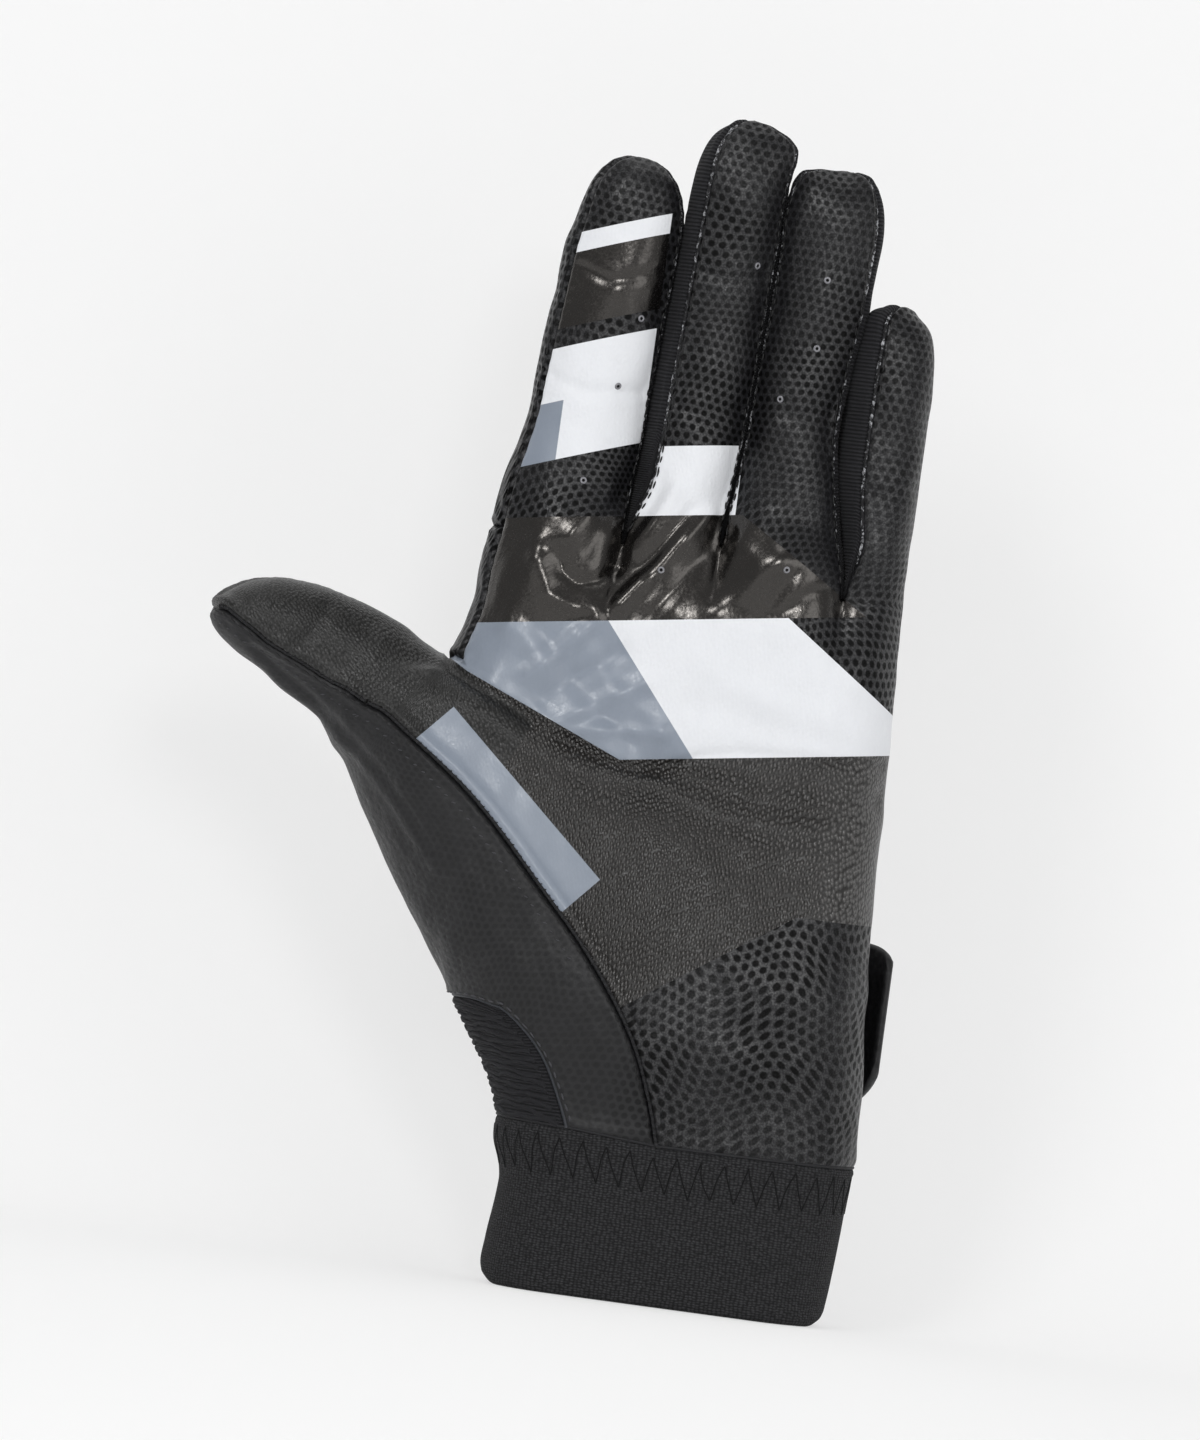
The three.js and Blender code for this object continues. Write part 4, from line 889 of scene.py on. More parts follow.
height = np.where(flat, seam_height(AWAY, FLAT_SEAM), seam_height(AWAY, LEATHER_SEAM))
# The thumb's front leather is turned over the outer panel, so its lip stands higher
over = (low_code == CODE["palm"]) & (high_code[NEAREST] == CODE["thumb_outer"])
THUMB_LIP, THUMB_LIP_WIDTH, THUMB_LIP_AT = 0.8, 1.15, 1.6
height += np.where(over, THUMB_LIP * hump(AWAY, THUMB_LIP_WIDTH, THUMB_LIP_AT), 0)
# Thread pulls the leather into small puckers along each seam
PUCKER_PITCH, PUCKER_HEIGHT, PUCKER_WIDTH, PUCKER_AT = 2.7, 0.06, 1.3, 1.2
puckers = PUCKER_HEIGHT * np.sin(2 * math.pi * V / PUCKER_PITCH)
height += puckers * hump(AWAY, PUCKER_WIDTH, PUCKER_AT)
height[same_band] = 0
print("seam points:", len(on_seam))

# %% [markdown]
# A fold is a line in the palm view with a depth and a width. A valley has a negative height and a
# ridge a positive one. The lines come from the creases in the photograph: the deep crease where the
# thumb's leather rolls over the palm, and the bright folds under the finger crotches.

# %% Folds of the palm side
FOLDS = [
    # height, width, points [x, z]
    (-0.8, 1.2, [(-57, 119.3), (-46.6, 114.6), (-33.7, 108.6), (-25.3, 105.6), (-18.5, 104.3), (-12, 105.6),
                 (-5.4, 108.6), (2.4, 110.2), (14.4, 111), (31, 111.3)]),
    (-0.9, 1.2, [(-38.9, 146), (-37.5, 141.4), (-34.3, 139.4), (-29.8, 140.6), (-26.5, 144)]),
    (0.9, 1.8, [(-42.4, 143), (-40, 136.5), (-34, 134.5), (-27, 136), (-22, 141.5)]),
    (0.8, 1.7, [(-30.8, 160), (-35.0, 152.5), (-38.6, 146.2)]),
    (-0.5, 1.6, [(-28, 158), (-31, 151.5), (-33, 146)]),
    (0.8, 1.5, [(-17.4, 160.6), (-20.6, 154), (-23.8, 147.6)]),
    (-0.8, 1.3, [(-13.9, 157), (-20.2, 147), (-28.3, 136)]),
    (0.8, 1.7, [(-9.9, 156.8), (-17.6, 146.4), (-25.0, 136)]),
    (-0.5, 1.6, [(-6, 154), (-13, 144), (-19, 135)]),
    (0.7, 2.0, [(-43, 147), (-44.3, 138.8), (-46.8, 129)]),
    (0.8, 2.4, [(5, 149.6), (0, 144.2), (-6, 138)]),
    (-0.5, 1.7, [(8, 147), (5, 142), (3, 137)]),
    (-0.5, 1.5, [(19, 146), (12, 143.5), (6, 138)]),
    (1.0, 2.0, [(-29.5, 132.6), (-41, 120.6)]),
    (0.95, 2.0, [(-18.6, 121.6), (-36.5, 110.6)]),
    (0.6, 1.5, [(-36, 109.4), (-25, 111.4), (-13, 112)]),
    (-0.7, 2.0, [(-24, 127), (-38, 116)]),
    (0.3, 2.6, [(-12, 128), (6, 121), (24, 118)]),
    (-0.3, 2.4, [(-8, 119), (10, 115), (27, 113)]),
    (-1.0, 2.8, [(-14, 106.5), (-4, 103.5), (8, 101.5), (20.5, 101), (32, 104)]),
    (0.9, 2.6, [(-22, 104), (-13.5, 100.5), (-2, 97), (9, 95.5), (20, 96)]),
    (0.3, 2.6, [(-10, 95), (6, 88), (26, 88)]),
    (-0.5, 1.3, [(-47, 180.5), (-38, 177.5), (-27, 179)]),
    (-0.4, 1.2, [(-45, 203), (-36, 200), (-26, 203)]),
    (-0.4, 1.3, [(-22, 178), (-15, 176), (-6, 178.5)]),
    (-0.35, 1.3, [(-20, 205), (-12, 203), (-4, 206)]),
    (-0.4, 1.3, [(-3, 180), (5, 178), (13, 180)]),
    (-0.4, 1.3, [(17, 166), (23, 164.5), (30, 167)]),
    (-0.5, 1.5, [(-89, 118), (-84.5, 123), (-83, 128)]),
    (-0.6, 1.0, [(-97, 118), (-90, 113.2), (-83, 109.4), (-77.5, 105), (-70, 98.5), (-62, 90.3), (-56, 83)]),
    (0.5, 1.5, [(-95.5, 114.8), (-88, 110), (-81.5, 106.4), (-76, 102), (-68.5, 95.8), (-61, 87.8),
                (-55, 80.5)]),
    (-0.35, 1.3, [(-74, 99), (-66.5, 91.5), (-60, 82.5)]),
    (0.5, 2.6, [(-44, 128), (-35, 118), (-24, 108)]),
    (-0.4, 1.8, [(-40, 129), (-31, 119), (-20, 110)]),
    (0.45, 2.0, [(-33, 130), (-26, 121), (-14, 113)]),
]
front_share = smooth(-N[:, 1] / 0.35)
plane = P[:, [0, 2]]
folded = np.zeros(len(P))
for rise, width, chain in FOLDS:
    folded += rise * hump(chain_distance(plane, np.array(chain, float)), width)
# Below the crease at the thumb's root, the leather bulges
crease = np.array(FOLDS[0][2][:5])
under = smooth((np.interp(plane[:, 0], crease[:, 0], crease[:, 1]) - plane[:, 1]) / 2)
BULGE_HEIGHT, BULGE_WIDTH, BULGE_BELOW = 1.5, 3.6, 4.5
bulge = BULGE_HEIGHT * hump(chain_distance(plane, crease), BULGE_WIDTH, BULGE_BELOW) * under
calm = smooth((AWAY - 0.5) / 2.5)
height += front_share * calm * (folded + bulge)

# %% Slow waves of the leather, and the ribs of the back
generator = np.random.default_rng(7)
waves = np.zeros(len(P))
for length in (26, 21, 17, 14, 11.5, 9.5, 8, 6.8, 5.6, 4.6):
    for _ in range(3):
        way = generator.normal(size=3)
        way /= np.linalg.norm(way)
        waves += length / 26 * np.sin(P @ way * 2 * math.pi / length + generator.uniform(0, 2 * math.pi))
WAVE_HEIGHT, CUFF_WAVE_SHARE = 0.085, 0.3
steady = np.where(P[:, 2] < CUFF_HEIGHT, CUFF_WAVE_SHARE, 1)
height += WAVE_HEIGHT * waves * calm * steady
# Raised channels across the back of each finger's middle joint, and across the knuckles
RIB_PITCH, RIB_HEIGHT, RIB_REACH, RIB_JOINT_SHARE = 3.4, 0.55, 11.0, 0.28
own = np.where(low_code == high_code, low_code, -1)
for finger in FINGERS:
    ids = rings[finger["name"]]
    joint = finger["shaft"] * RIB_JOINT_SHARE
    along = np.broadcast_to(finger["along"][:, None], ids.shape) - joint
    window = smooth((RIB_REACH - np.abs(along)) / 2.5)
    ribs = RIB_HEIGHT * (0.5 + 0.5 * np.cos(2 * math.pi * along / RIB_PITCH)) * window
    on_back = np.where(own[ids] == CODE["finger_back"], smooth((N[ids, 1] - 0.15) / 0.4), 0)
    height[ids] += ribs * on_back * smooth(AWAY[ids] / 2.5)
in_flex = own == CODE["flex"]
height += np.where(in_flex, RIB_HEIGHT * np.cos(2 * math.pi * V / RIB_PITCH) * smooth(AWAY / 1.5), 0)
# Three sewn valleys run down the back of the hand between the finger bones
VALLEY_DEPTH, VALLEY_WIDTH = 0.7, 1.2
for chain in ([(-22, 132), (-17, 88)], [(-5, 134), (-3, 88)], [(17, 130), (11, 88)]):
    valley = VALLEY_DEPTH * hump(chain_distance(plane, np.array(chain, float)), VALLEY_WIDTH)
    height -= np.where(own == CODE["back"], valley, 0)
# The cuff's lower edge is turned in, so it is round
EDGE_TURN, EDGE_TURN_DEPTH = 1.5, 0.8
above_edge = np.full(len(P), 99.0)
above_edge[cuff] = P[cuff, 2] - P[cuff[:1], 2]
turn_in = np.clip(1 - above_edge / EDGE_TURN, 0, 1)
height -= EDGE_TURN_DEPTH * (1 - np.sqrt(1 - turn_in**2))
Q = P + N * height[:, None]
Q[hem_line, 2] = P[hem_line, 2]
QN = facing(Q)
print("relief in mm:", height[USED].min().round(2), "to", height[USED].max().round(2))

# %% [markdown]
# ## Materials
# Each finish starts from what it is on a batting glove: goatskin with a fine pebble grain, the same
# leather with a printed film, knitted stretch, ribbed elastic, woven tape. A pattern's scale is a
# real size in millimetres. Object coordinates are metres, so a pattern that is 1.3 mm across has a
# scale of about 1 / 0.0013.


# %% Pattern helpers
def per_metre(size_mm):
    return 1 / (size_mm * MM)


def bumps(tree, *layers):
    """Stacks bump layers given as (height socket, depth in mm, strength)."""
    normal = None
    for height_socket, depth_mm, strength in layers:
        inputs = {"Height": height_socket, "Distance": depth_mm * MM, "Strength": strength}
        if normal is not None:
            inputs["Normal"] = normal
        normal = add(tree, "ShaderNodeBump", inputs)
    return normal


def spots(tree, vector, pitch_mm, radius_mm, soft_mm=0.19):
    """Staggered round spots: 1 inside a spot, 0 outside, for a pattern in metres."""
    nearest = None
    row_mm = pitch_mm * math.sqrt(3)
    for shift in (0.0, 0.5):
        cell = add(tree, "ShaderNodeMapping", {"Vector": vector, "Location": (shift, shift, 0),
                   "Scale": (per_metre(pitch_mm), per_metre(row_mm), 0)})
        part = add(tree, "ShaderNodeVectorMath", {0: cell}, operation="FRACTION")
        centred = add(tree, "ShaderNodeVectorMath", {0: part, 1: (-0.5, -0.5, 0)}, operation="ADD")
        real = add(tree, "ShaderNodeVectorMath", {0: centred, 1: (pitch_mm, row_mm, 0)},
                   operation="MULTIPLY")
        length = add(tree, "ShaderNodeVectorMath", {0: real}, operation="LENGTH").outputs["Value"]
        if nearest is not None:
            length = add(tree, "ShaderNodeMath", {0: nearest, 1: length}, operation="MINIMUM")
        nearest = length
    return add(tree, "ShaderNodeMapRange", {"Value": nearest, 1: radius_mm - soft_mm, 2: radius_mm + soft_mm,
                                            3: 1.0, 4: 0.0}, interpolation_type="SMOOTHSTEP")


def warped(tree, vector, size_mm, reach_mm):
    """A pattern's coordinates pushed about in slow waves."""
    push = add(tree, "ShaderNodeTexNoise", {"Vector": vector, "Scale": per_metre(size_mm), "Detail": 1.0})
    centred = add(tree, "ShaderNodeVectorMath", {0: push.outputs["Color"], 1: (0.5, 0.5, 0.5)},
                  operation="SUBTRACT")
    return add(tree, "ShaderNodeVectorMath", {0: centred, 1: (reach_mm * 2 * MM,) * 3, 2: vector},
               operation="MULTIPLY_ADD")


def finished(made, tree, output, **inputs):
    """Ends a material with one shader and returns it."""
    shader = add(tree, "ShaderNodeBsdfPrincipled", inputs)
    tree.links.new(shader.outputs[0], output.inputs["Surface"])
    return made


# %% Embossed goatskin: charcoal with staggered black spots, pressed in
# The spots follow the panel, so they read the piece's own lengths. Pressing leaves them matt and
# slightly sunk; the leather between them keeps a low sheen.
SPOT_PITCH, SPOT_RADIUS, WRIST_SPOT_SHARE = 2.0, 0.66, 0.76
CHARCOAL_LOW, CHARCOAL_HIGH, SPOT_COLOUR = "#18181a", "#242427", "#040404"


def spotted(tree, lengths, place):
    """The embossed pattern: how much a spot covers each place."""
    pattern = spots(tree, warped(tree, lengths, 26, 3.0), SPOT_PITCH, SPOT_RADIUS)
    patches = add(tree, "ShaderNodeTexNoise", {"Vector": place, "Scale": per_metre(22), "Detail": 1.0,
                                               "Roughness": 0.55})
    fade = add(tree, "ShaderNodeMapRange", {"Value": patches, 1: 0.32, 2: 0.55, 3: 0.5, 4: 1.0})
    return add(tree, "ShaderNodeMath", {0: pattern, 1: fade}, operation="MULTIPLY")


def coordinates(tree):
    """The piece's own lengths and the place on the object, both in metres."""
    lengths = add(tree, "ShaderNodeUVMap", uv_map="lengths")
    return lengths, add(tree, "ShaderNodeTexCoord").outputs["Object"]


def leather(name):
    """An empty leather finish with its coordinates and the fine grain that all goatskin has."""
    made, tree, output = new_material(name)
    lengths, place = coordinates(tree)
    grain = add(tree, "ShaderNodeTexNoise", {"Vector": place, "Scale": per_metre(0.5), "Detail": 4.0,
                                             "Roughness": 0.55})
    return made, tree, output, lengths, place, grain


def glints(tree, place, spot, level):
    """The shine of fine grain: only its tops catch the light, and the spots stay matt."""
    tops = add(tree, "ShaderNodeTexNoise", {"Vector": place, "Scale": per_metre(0.42), "Detail": 3.0,
                                            "Roughness": 0.6})
    tops = add(tree, "ShaderNodeMapRange", {"Value": tops, 1: 0.4, 2: 0.64, 3: 0.3, 4: 0.8},
               interpolation_type="SMOOTHSTEP")
    shine = add(tree, "ShaderNodeMath", {0: tops, 1: level}, operation="MULTIPLY")
    clear = add(tree, "ShaderNodeMath", {0: spot, 1: -0.85, 2: 1.0}, operation="MULTIPLY_ADD")
    return add(tree, "ShaderNodeMath", {0: shine, 1: clear}, operation="MULTIPLY")


embossed, tree, output, lengths, place, grain = leather("embossed_goatskin")
spot = spotted(tree, lengths, place)
cloudy, lumpy = (
    add(tree, "ShaderNodeTexNoise", {"Vector": place, "Scale": per_metre(size_mm), "Detail": 3.0,
                                     "Roughness": 0.55}) for size_mm in (7, 2.2))
base = add(tree, "ShaderNodeMix", {0: cloudy, 6: linear(CHARCOAL_LOW), 7: linear(CHARCOAL_HIGH)},
           data_type="RGBA").outputs[2]
colour = add(tree, "ShaderNodeMix", {0: spot, 6: base, 7: linear(SPOT_COLOUR)}, data_type="RGBA").outputs[2]
gloss = add(tree, "ShaderNodeMapRange", {"Value": grain, 1: 0.3, 2: 0.7, 3: 0.3, 4: 0.5})
rough = add(tree, "ShaderNodeMath", {0: spot, 1: 0.2, 2: gloss}, operation="MULTIPLY_ADD")
normal = bumps(tree, (grain, 0.1, 0.5), (lumpy, 0.15, 0.4), (spot, 0.2, -0.7))
EMBOSSED = finished(embossed, tree, output, **{"Base Color": colour, "Roughness": rough, "Normal": normal,
                    "Specular IOR Level": glints(tree, place, spot, 0.8)})
print("spots:", SPOT_PITCH, "mm apart")

# %% [markdown]
# The palm is one hide with a printed face. Straight bands cross it: bare grained leather, a glossy
# film, white, blue grey and the embossed charcoal. A band's number picks its colour, its roughness
# and how deep its grain is, so that one shader serves the whole palm. The band edges are half
# planes in the palm view, in millimetres.

# %% Printed goatskin of the palm
GRAINED, FILM, WHITE, GREY, SPOTTED, SATIN = 0.0, 0.2, 0.4, 0.6, 0.8, 1.0


def side_of(tree, spot_x, spot_z, along_x, along_z, level):
    """1 where along_x times x plus along_z times z is more than the level."""
    part = add(tree, "ShaderNodeMath", {0: spot_x, 1: along_x}, operation="MULTIPLY")
    part = add(tree, "ShaderNodeMath", {0: spot_z, 1: along_z, 2: part}, operation="MULTIPLY_ADD")
    return add(tree, "ShaderNodeMath", {0: part, 1: level}, operation="GREATER_THAN")


def choose(tree, code, *values):
    """A number or a colour for each kind of band, from the band's code."""
    ramp = add(tree, "ShaderNodeValToRGB", {"Fac": code})
    ramp.color_ramp.interpolation = "CONSTANT"
    for i, value in enumerate(values):
        stop = ramp.color_ramp.elements[i] if i < 2 else ramp.color_ramp.elements.new(i * 0.2 - 0.1)
        stop.position = max(i * 0.2 - 0.1, 0)
        stop.color = linear(value) if isinstance(value, str) else (value, value, value, 1)
    return ramp.outputs["Color"]


BANDS = [
    # code, half planes as (along x, along z, level); a band lies beyond all of its planes
    (WHITE, [(-0.15, 1, 158), (0.15, -1, -172), (-1, 0, 5), (1, 0, -25.5)]),
    (FILM, [(-0.15, 1, 137), (0.15, -1, -158), (-0.62, -1, -155.2)]),
    (WHITE, [(-0.15, 1, 109), (0.15, -1, -137), (-0.7, -1, -144)]),
    (GREY, [(-0.15, 1, 109), (0.15, -1, -137), (-1, -0.8165, -81.3)]),
    (FILM, [(-1, 0, 25.5), (-0.35, 1, 204.9), (0.35, -1, -220)]),
    (WHITE, [(-1, 0, 25.5), (-0.35, 1, 178), (0.35, -1, -201)]),
    (GREY, [(-1, 0, 42), (-0.35, 1, 178), (0.35, -1, -190), (-1, -0.55, -55.4)]),
    (WHITE, [(-1, 0, 25.5), (-0.35, 1, 220), (0.35, -1, -224)]),
    (GRAINED, [(0.15, -1, -109)]),
    (GRAINED, [(-0.4146, -1, -96.95)]),
    (SATIN, [(-0.9, 0.43, 83), (-0.57, -1, -88.6)]),
    (GREY, [(0.743, -0.67, -116), (-0.743, 0.67, 71), (-0.67, -0.743, -46)]),
    (SPOTTED, [(0.69, -1, -67.2), (0, -1, -79.5)]),
]
printed, tree, output, lengths, place, grain = leather("printed_goatskin")
# The bands read where each place lies in the palm view at rest, so they stay put when a finger bends
view = add(tree, "ShaderNodeUVMap", uv_map="view")
real = add(tree, "ShaderNodeVectorMath", {0: view, 1: (1 / MM,) * 3}, operation="MULTIPLY")
axes = add(tree, "ShaderNodeSeparateXYZ", {0: real}).outputs
code = SPOTTED
for value, planes in BANDS:
    inside = 1.0
    for along_x, along_z, level in planes:
        here = side_of(tree, axes["X"], axes["Y"], along_x, along_z, level)
        inside = add(tree, "ShaderNodeMath", {0: here, 1: inside}, operation="MULTIPLY")
    code = add(tree, "ShaderNodeMix", {0: inside, 2: code, 3: value}, data_type="FLOAT")

# Goatskin's pebbles are longer up the hand than across it, and their rows lean a little
long = add(tree, "ShaderNodeMapping", {"Vector": lengths, "Rotation": (0, 0, -0.3),
                                       "Scale": (1.0, 0.68, 1.0)})
cells = add(tree, "ShaderNodeTexVoronoi", {"Vector": warped(tree, long, 4, 0.25), "Scale": per_metre(0.86),
            "Randomness": 0.6}, feature="F1", voronoi_dimensions="2D")
pebble = add(tree, "ShaderNodeMapRange", {"Value": cells, 1: 0.05, 2: 0.6, 3: 1.0, 4: 0.0},
             interpolation_type="SMOOTHSTEP")
crackle = add(tree, "ShaderNodeTexNoise", {"Vector": long, "Scale": per_metre(2.4), "Detail": 5.0,
                                           "Roughness": 0.6})
# Near the wrist the embossed spots are larger, and their rows run in waves
low_down, swing = (
    add(tree, "ShaderNodeMapRange", {"Value": axes["Y"], 1: start, 2: 96.0, 3: below, 4: above})
    for start, below, above in ((92.0, WRIST_SPOT_SHARE, 1.0), (84.0, 1.0, 0.0)))
run = add(tree, "ShaderNodeSeparateXYZ", {0: lengths}).outputs
waved = []
for along, other, wave_mm, reach_mm in ((0, 1, 25, 2.0), (1, 0, 29, 2.6)):
    turn = add(tree, "ShaderNodeMath", {0: run[other], 1: 2 * math.pi * per_metre(wave_mm), 2: 0.8},
               operation="MULTIPLY_ADD")
    turn = add(tree, "ShaderNodeMath", {0: turn}, operation="SINE")
    reach = add(tree, "ShaderNodeMath", {0: swing, 1: reach_mm * MM}, operation="MULTIPLY")
    waved.append(add(tree, "ShaderNodeMath", {0: turn, 1: reach, 2: run[along]}, operation="MULTIPLY_ADD"))
rows = add(tree, "ShaderNodeCombineXYZ", {0: waved[0], 1: waved[1]})
scaled = add(tree, "ShaderNodeVectorMath", {0: rows, "Scale": low_down}, operation="SCALE")
pressed = choose(tree, code, 0, 0, 0, 0, 1, 0.35)
spot = add(tree, "ShaderNodeMath", {0: spotted(tree, scaled, place), 1: pressed}, operation="MULTIPLY")
# The pebbles' tops are painted lighter: a painted highlight of the grain, strongest on the bare grained
# leather. The crackle noise mixed in is tone that differs at random.
low = choose(tree, code, "#161514", "#090808", "#dfe1e5", "#7b8491", CHARCOAL_LOW, "#121211")
high = choose(tree, code, "#34312f", "#100f0f", "#edeef0", "#919aa7", CHARCOAL_HIGH, "#1f1e1d")
pebble_highlight = choose(tree, code, 0.9, 0.1, 0.04, 0.04, 0.1, 0.25)
colour_share = add(tree, "ShaderNodeMath", {0: pebble, 1: pebble_highlight}, operation="MULTIPLY")
colour_share = add(tree, "ShaderNodeMath", {0: crackle, 1: 0.3, 2: colour_share}, operation="MULTIPLY_ADD",
             use_clamp=True)
face = add(tree, "ShaderNodeMix", {0: colour_share, 6: low, 7: high}, data_type="RGBA").outputs[2]
colour = add(tree, "ShaderNodeMix", {0: spot, 6: face, 7: linear(SPOT_COLOUR)}, data_type="RGBA").outputs[2]
gloss = add(tree, "ShaderNodeMapRange", {"Value": grain, 1: 0.3, 2: 0.7, 3: -0.08, 4: 0.1})
rough = add(tree, "ShaderNodeMath", {0: choose(tree, code, 0.34, 0.22, 0.46, 0.36, 0.38, 0.36), 1: gloss},
            operation="ADD")
rough = add(tree, "ShaderNodeMath", {0: spot, 1: 0.15, 2: rough}, operation="MULTIPLY_ADD")
normal = bumps(
    tree,
    (grain, 0.12, choose(tree, code, 0.35, 0.08, 0.3, 0.15, 0.45, 0.35)),
    (pebble, 0.34, choose(tree, code, 1.0, 0.03, 0.12, 0.03, 0.1, 0.3)),
    (crackle, 0.3, choose(tree, code, 0.3, 0.16, 0.25, 0.03, 0.3, 0.3)),
    (spot, 0.2, -0.6),
)
even = choose(tree, code, 0.3, 0.75, 0.3, 0.8, 0.05, 0.2)
even = add(tree, "ShaderNodeMath", {0: pebble, 1: choose(tree, code, 0.8, 0, 0, 0, 0, 0.2), 2: even},
           operation="MULTIPLY_ADD")
shine = glints(tree, place, spot, choose(tree, code, 0.35, 0, 0, 0, 0.8, 0.4))
shine = add(tree, "ShaderNodeMath", {0: shine, 1: even}, operation="ADD")
# The film's shine is a little warm
tint = choose(tree, code, "#ffffff", "#fff9f3", "#ffffff", "#ffffff", "#ffffff", "#ffffff")
PALM_FINISH = finished(printed, tree, output, **{"Base Color": colour, "Normal": normal, "Roughness": rough,
                       "Specular IOR Level": shine, "Specular Tint": tint})
print("bands:", len(BANDS))

# %% Grained goatskin of the thumb's outer side and the strap
grained, tree, output, lengths, place, grain = leather("grained_goatskin")
pebble = add(tree, "ShaderNodeTexVoronoi", {"Vector": warped(tree, place, 4, 0.4), "Scale": per_metre(1.6),
                                           "Randomness": 0.8}, feature="SMOOTH_F1")
cloudy, lumpy = (
    add(tree, "ShaderNodeTexNoise", {"Vector": place, "Scale": per_metre(size_mm), "Detail": 3.0,
                                     "Roughness": 0.55}) for size_mm in (6, 3))
colour_share = add(tree, "ShaderNodeMath", {0: pebble, 1: 0.7}, operation="MULTIPLY")
colour_share = add(tree, "ShaderNodeMath", {0: cloudy, 1: 0.5, 2: colour_share}, operation="MULTIPLY_ADD")
colour = add(tree, "ShaderNodeMix", {0: colour_share, 6: linear("#121213"), 7: linear("#202022")},
             data_type="RGBA").outputs[2]
# The same spots are pressed in here. They are clear at the hand's side and fade towards the seams
across = add(tree, "ShaderNodeSeparateXYZ", {0: lengths}).outputs["X"]
from_side = add(tree, "ShaderNodeMath", {0: across}, operation="ABSOLUTE")
clear = add(tree, "ShaderNodeMapRange", {"Value": from_side, 1: 5 * MM, 2: 15 * MM, 3: 0.75, 4: 0.2})
spot = add(tree, "ShaderNodeMath", {0: spotted(tree, lengths, place), 1: clear}, operation="MULTIPLY")
colour = add(tree, "ShaderNodeMix", {0: spot, 6: colour, 7: linear(SPOT_COLOUR)},
             data_type="RGBA").outputs[2]
gloss = add(tree, "ShaderNodeMapRange", {"Value": grain, 1: 0.3, 2: 0.7, 3: 0.38, 4: 0.58})
normal = bumps(tree, (grain, 0.1, 0.5), (pebble, 0.35, 0.6), (lumpy, 0.2, 0.5), (spot, 0.3, -1.0))
shine = add(tree, "ShaderNodeMath", {0: spot, 1: -0.3, 2: 0.36}, operation="MULTIPLY_ADD")
OUTER_FINISH = finished(grained, tree, output, **{"Base Color": colour, "Roughness": gloss, "Normal": normal,
                        "Specular IOR Level": shine})

# %% Knitted and woven finishes
# A knit is fine yarn, so it is matt and its ribs catch only a soft light. The ribs run across the
# strip, and their pitch is the one seen between the fingers.


def ribbed(name, pitch_mm, depth_mm, low, high, direction, roughness=0.85, twill=0.35):
    """A knit with ribs along one of the piece's own directions (0 round the part, 1 up it)."""
    made, tree, output = new_material(name)
    lengths, place = coordinates(tree)
    axis = add(tree, "ShaderNodeSeparateXYZ", {0: warped(tree, lengths, 6, 0.12)}).outputs[direction]
    wave = add(tree, "ShaderNodeMath", {0: axis, 1: 2 * math.pi * per_metre(pitch_mm)},
               operation="MULTIPLY")
    wave = add(tree, "ShaderNodeMath", {0: wave}, operation="SINE")
    rib = add(tree, "ShaderNodeMath", {0: wave, 1: 0.5, 2: 0.5}, operation="MULTIPLY_ADD")
    fuzz = add(tree, "ShaderNodeTexNoise", {"Vector": place, "Scale": per_metre(0.35), "Detail": 3.0,
                                            "Roughness": 0.7})
    # The colour follows the rib's height: crests are painted lighter and grooves darker, as painted light and
    # shade on the ribs. The fuzz adds tone that differs at random.
    both = add(tree, "ShaderNodeMath", {0: rib, 1: 1 - twill}, operation="MULTIPLY")
    both = add(tree, "ShaderNodeMath", {0: fuzz, 1: twill, 2: both}, operation="MULTIPLY_ADD")
    colour = add(tree, "ShaderNodeMix", {0: both, 6: linear(low), 7: linear(high)},
                 data_type="RGBA").outputs[2]
    normal = bumps(tree, (fuzz, 0.06, 0.8), (rib, depth_mm, 1.0))
    return finished(made, tree, output, **{"Base Color": colour, "Roughness": roughness, "Normal": normal,
                    "Specular IOR Level": 0.15, "Sheen Weight": 0.03, "Sheen Roughness": 0.5})


STRETCH = ribbed("ribbed_stretch_knit", 0.75, 0.22, "#0c0c0d", "#323235", 1)
TAPE = ribbed("woven_tape", 0.45, 0.1, "#1a1a1b", "#333335", 0, 0.8)
LOOP = ribbed("nylon_loop_tape", 0.5, 0.15, "#101011", "#262628", 1, 0.95)

# %% Elastic knit of the cuff
# Wide elastic: yarn wraps each rubber cord, which gives short level dashes in upright columns.
knit, tree, output = new_material("knitted_elastic")
lengths, place = coordinates(tree)
KNIT_ROW, KNIT_COLUMN = 0.5, 0.85
stretched = add(tree, "ShaderNodeMapping", {"Vector": warped(tree, lengths, 3, 0.22),
                "Scale": (per_metre(KNIT_COLUMN), per_metre(KNIT_ROW), 1.0)})
dashes = add(tree, "ShaderNodeTexVoronoi", {"Vector": stretched, "Scale": 1.0, "Randomness": 0.35},
             feature="F1")
fuzz = add(tree, "ShaderNodeTexNoise", {"Vector": place, "Scale": per_metre(0.3), "Detail": 3.0,
                                        "Roughness": 0.7})
fleck = add(tree, "ShaderNodeMapRange", {"Value": dashes, 1: 0.15, 2: 0.6, 3: 1.0, 4: 0.0})
both = add(tree, "ShaderNodeMath", {0: fuzz, 1: 0.8, 2: 0.35}, operation="MULTIPLY_ADD")
both = add(tree, "ShaderNodeMath", {0: fleck, 1: both}, operation="MULTIPLY")
colour = add(tree, "ShaderNodeMix", {0: both, 6: linear("#202021"), 7: linear("#444446")},
             data_type="RGBA").outputs[2]
normal = bumps(tree, (fuzz, 0.05, 0.8), (fleck, 0.2, 0.9))
KNIT = finished(knit, tree, output, **{"Base Color": colour, "Roughness": 0.9, "Normal": normal,
                "Specular IOR Level": 0.1, "Sheen Weight": 0.02, "Sheen Roughness": 0.5})


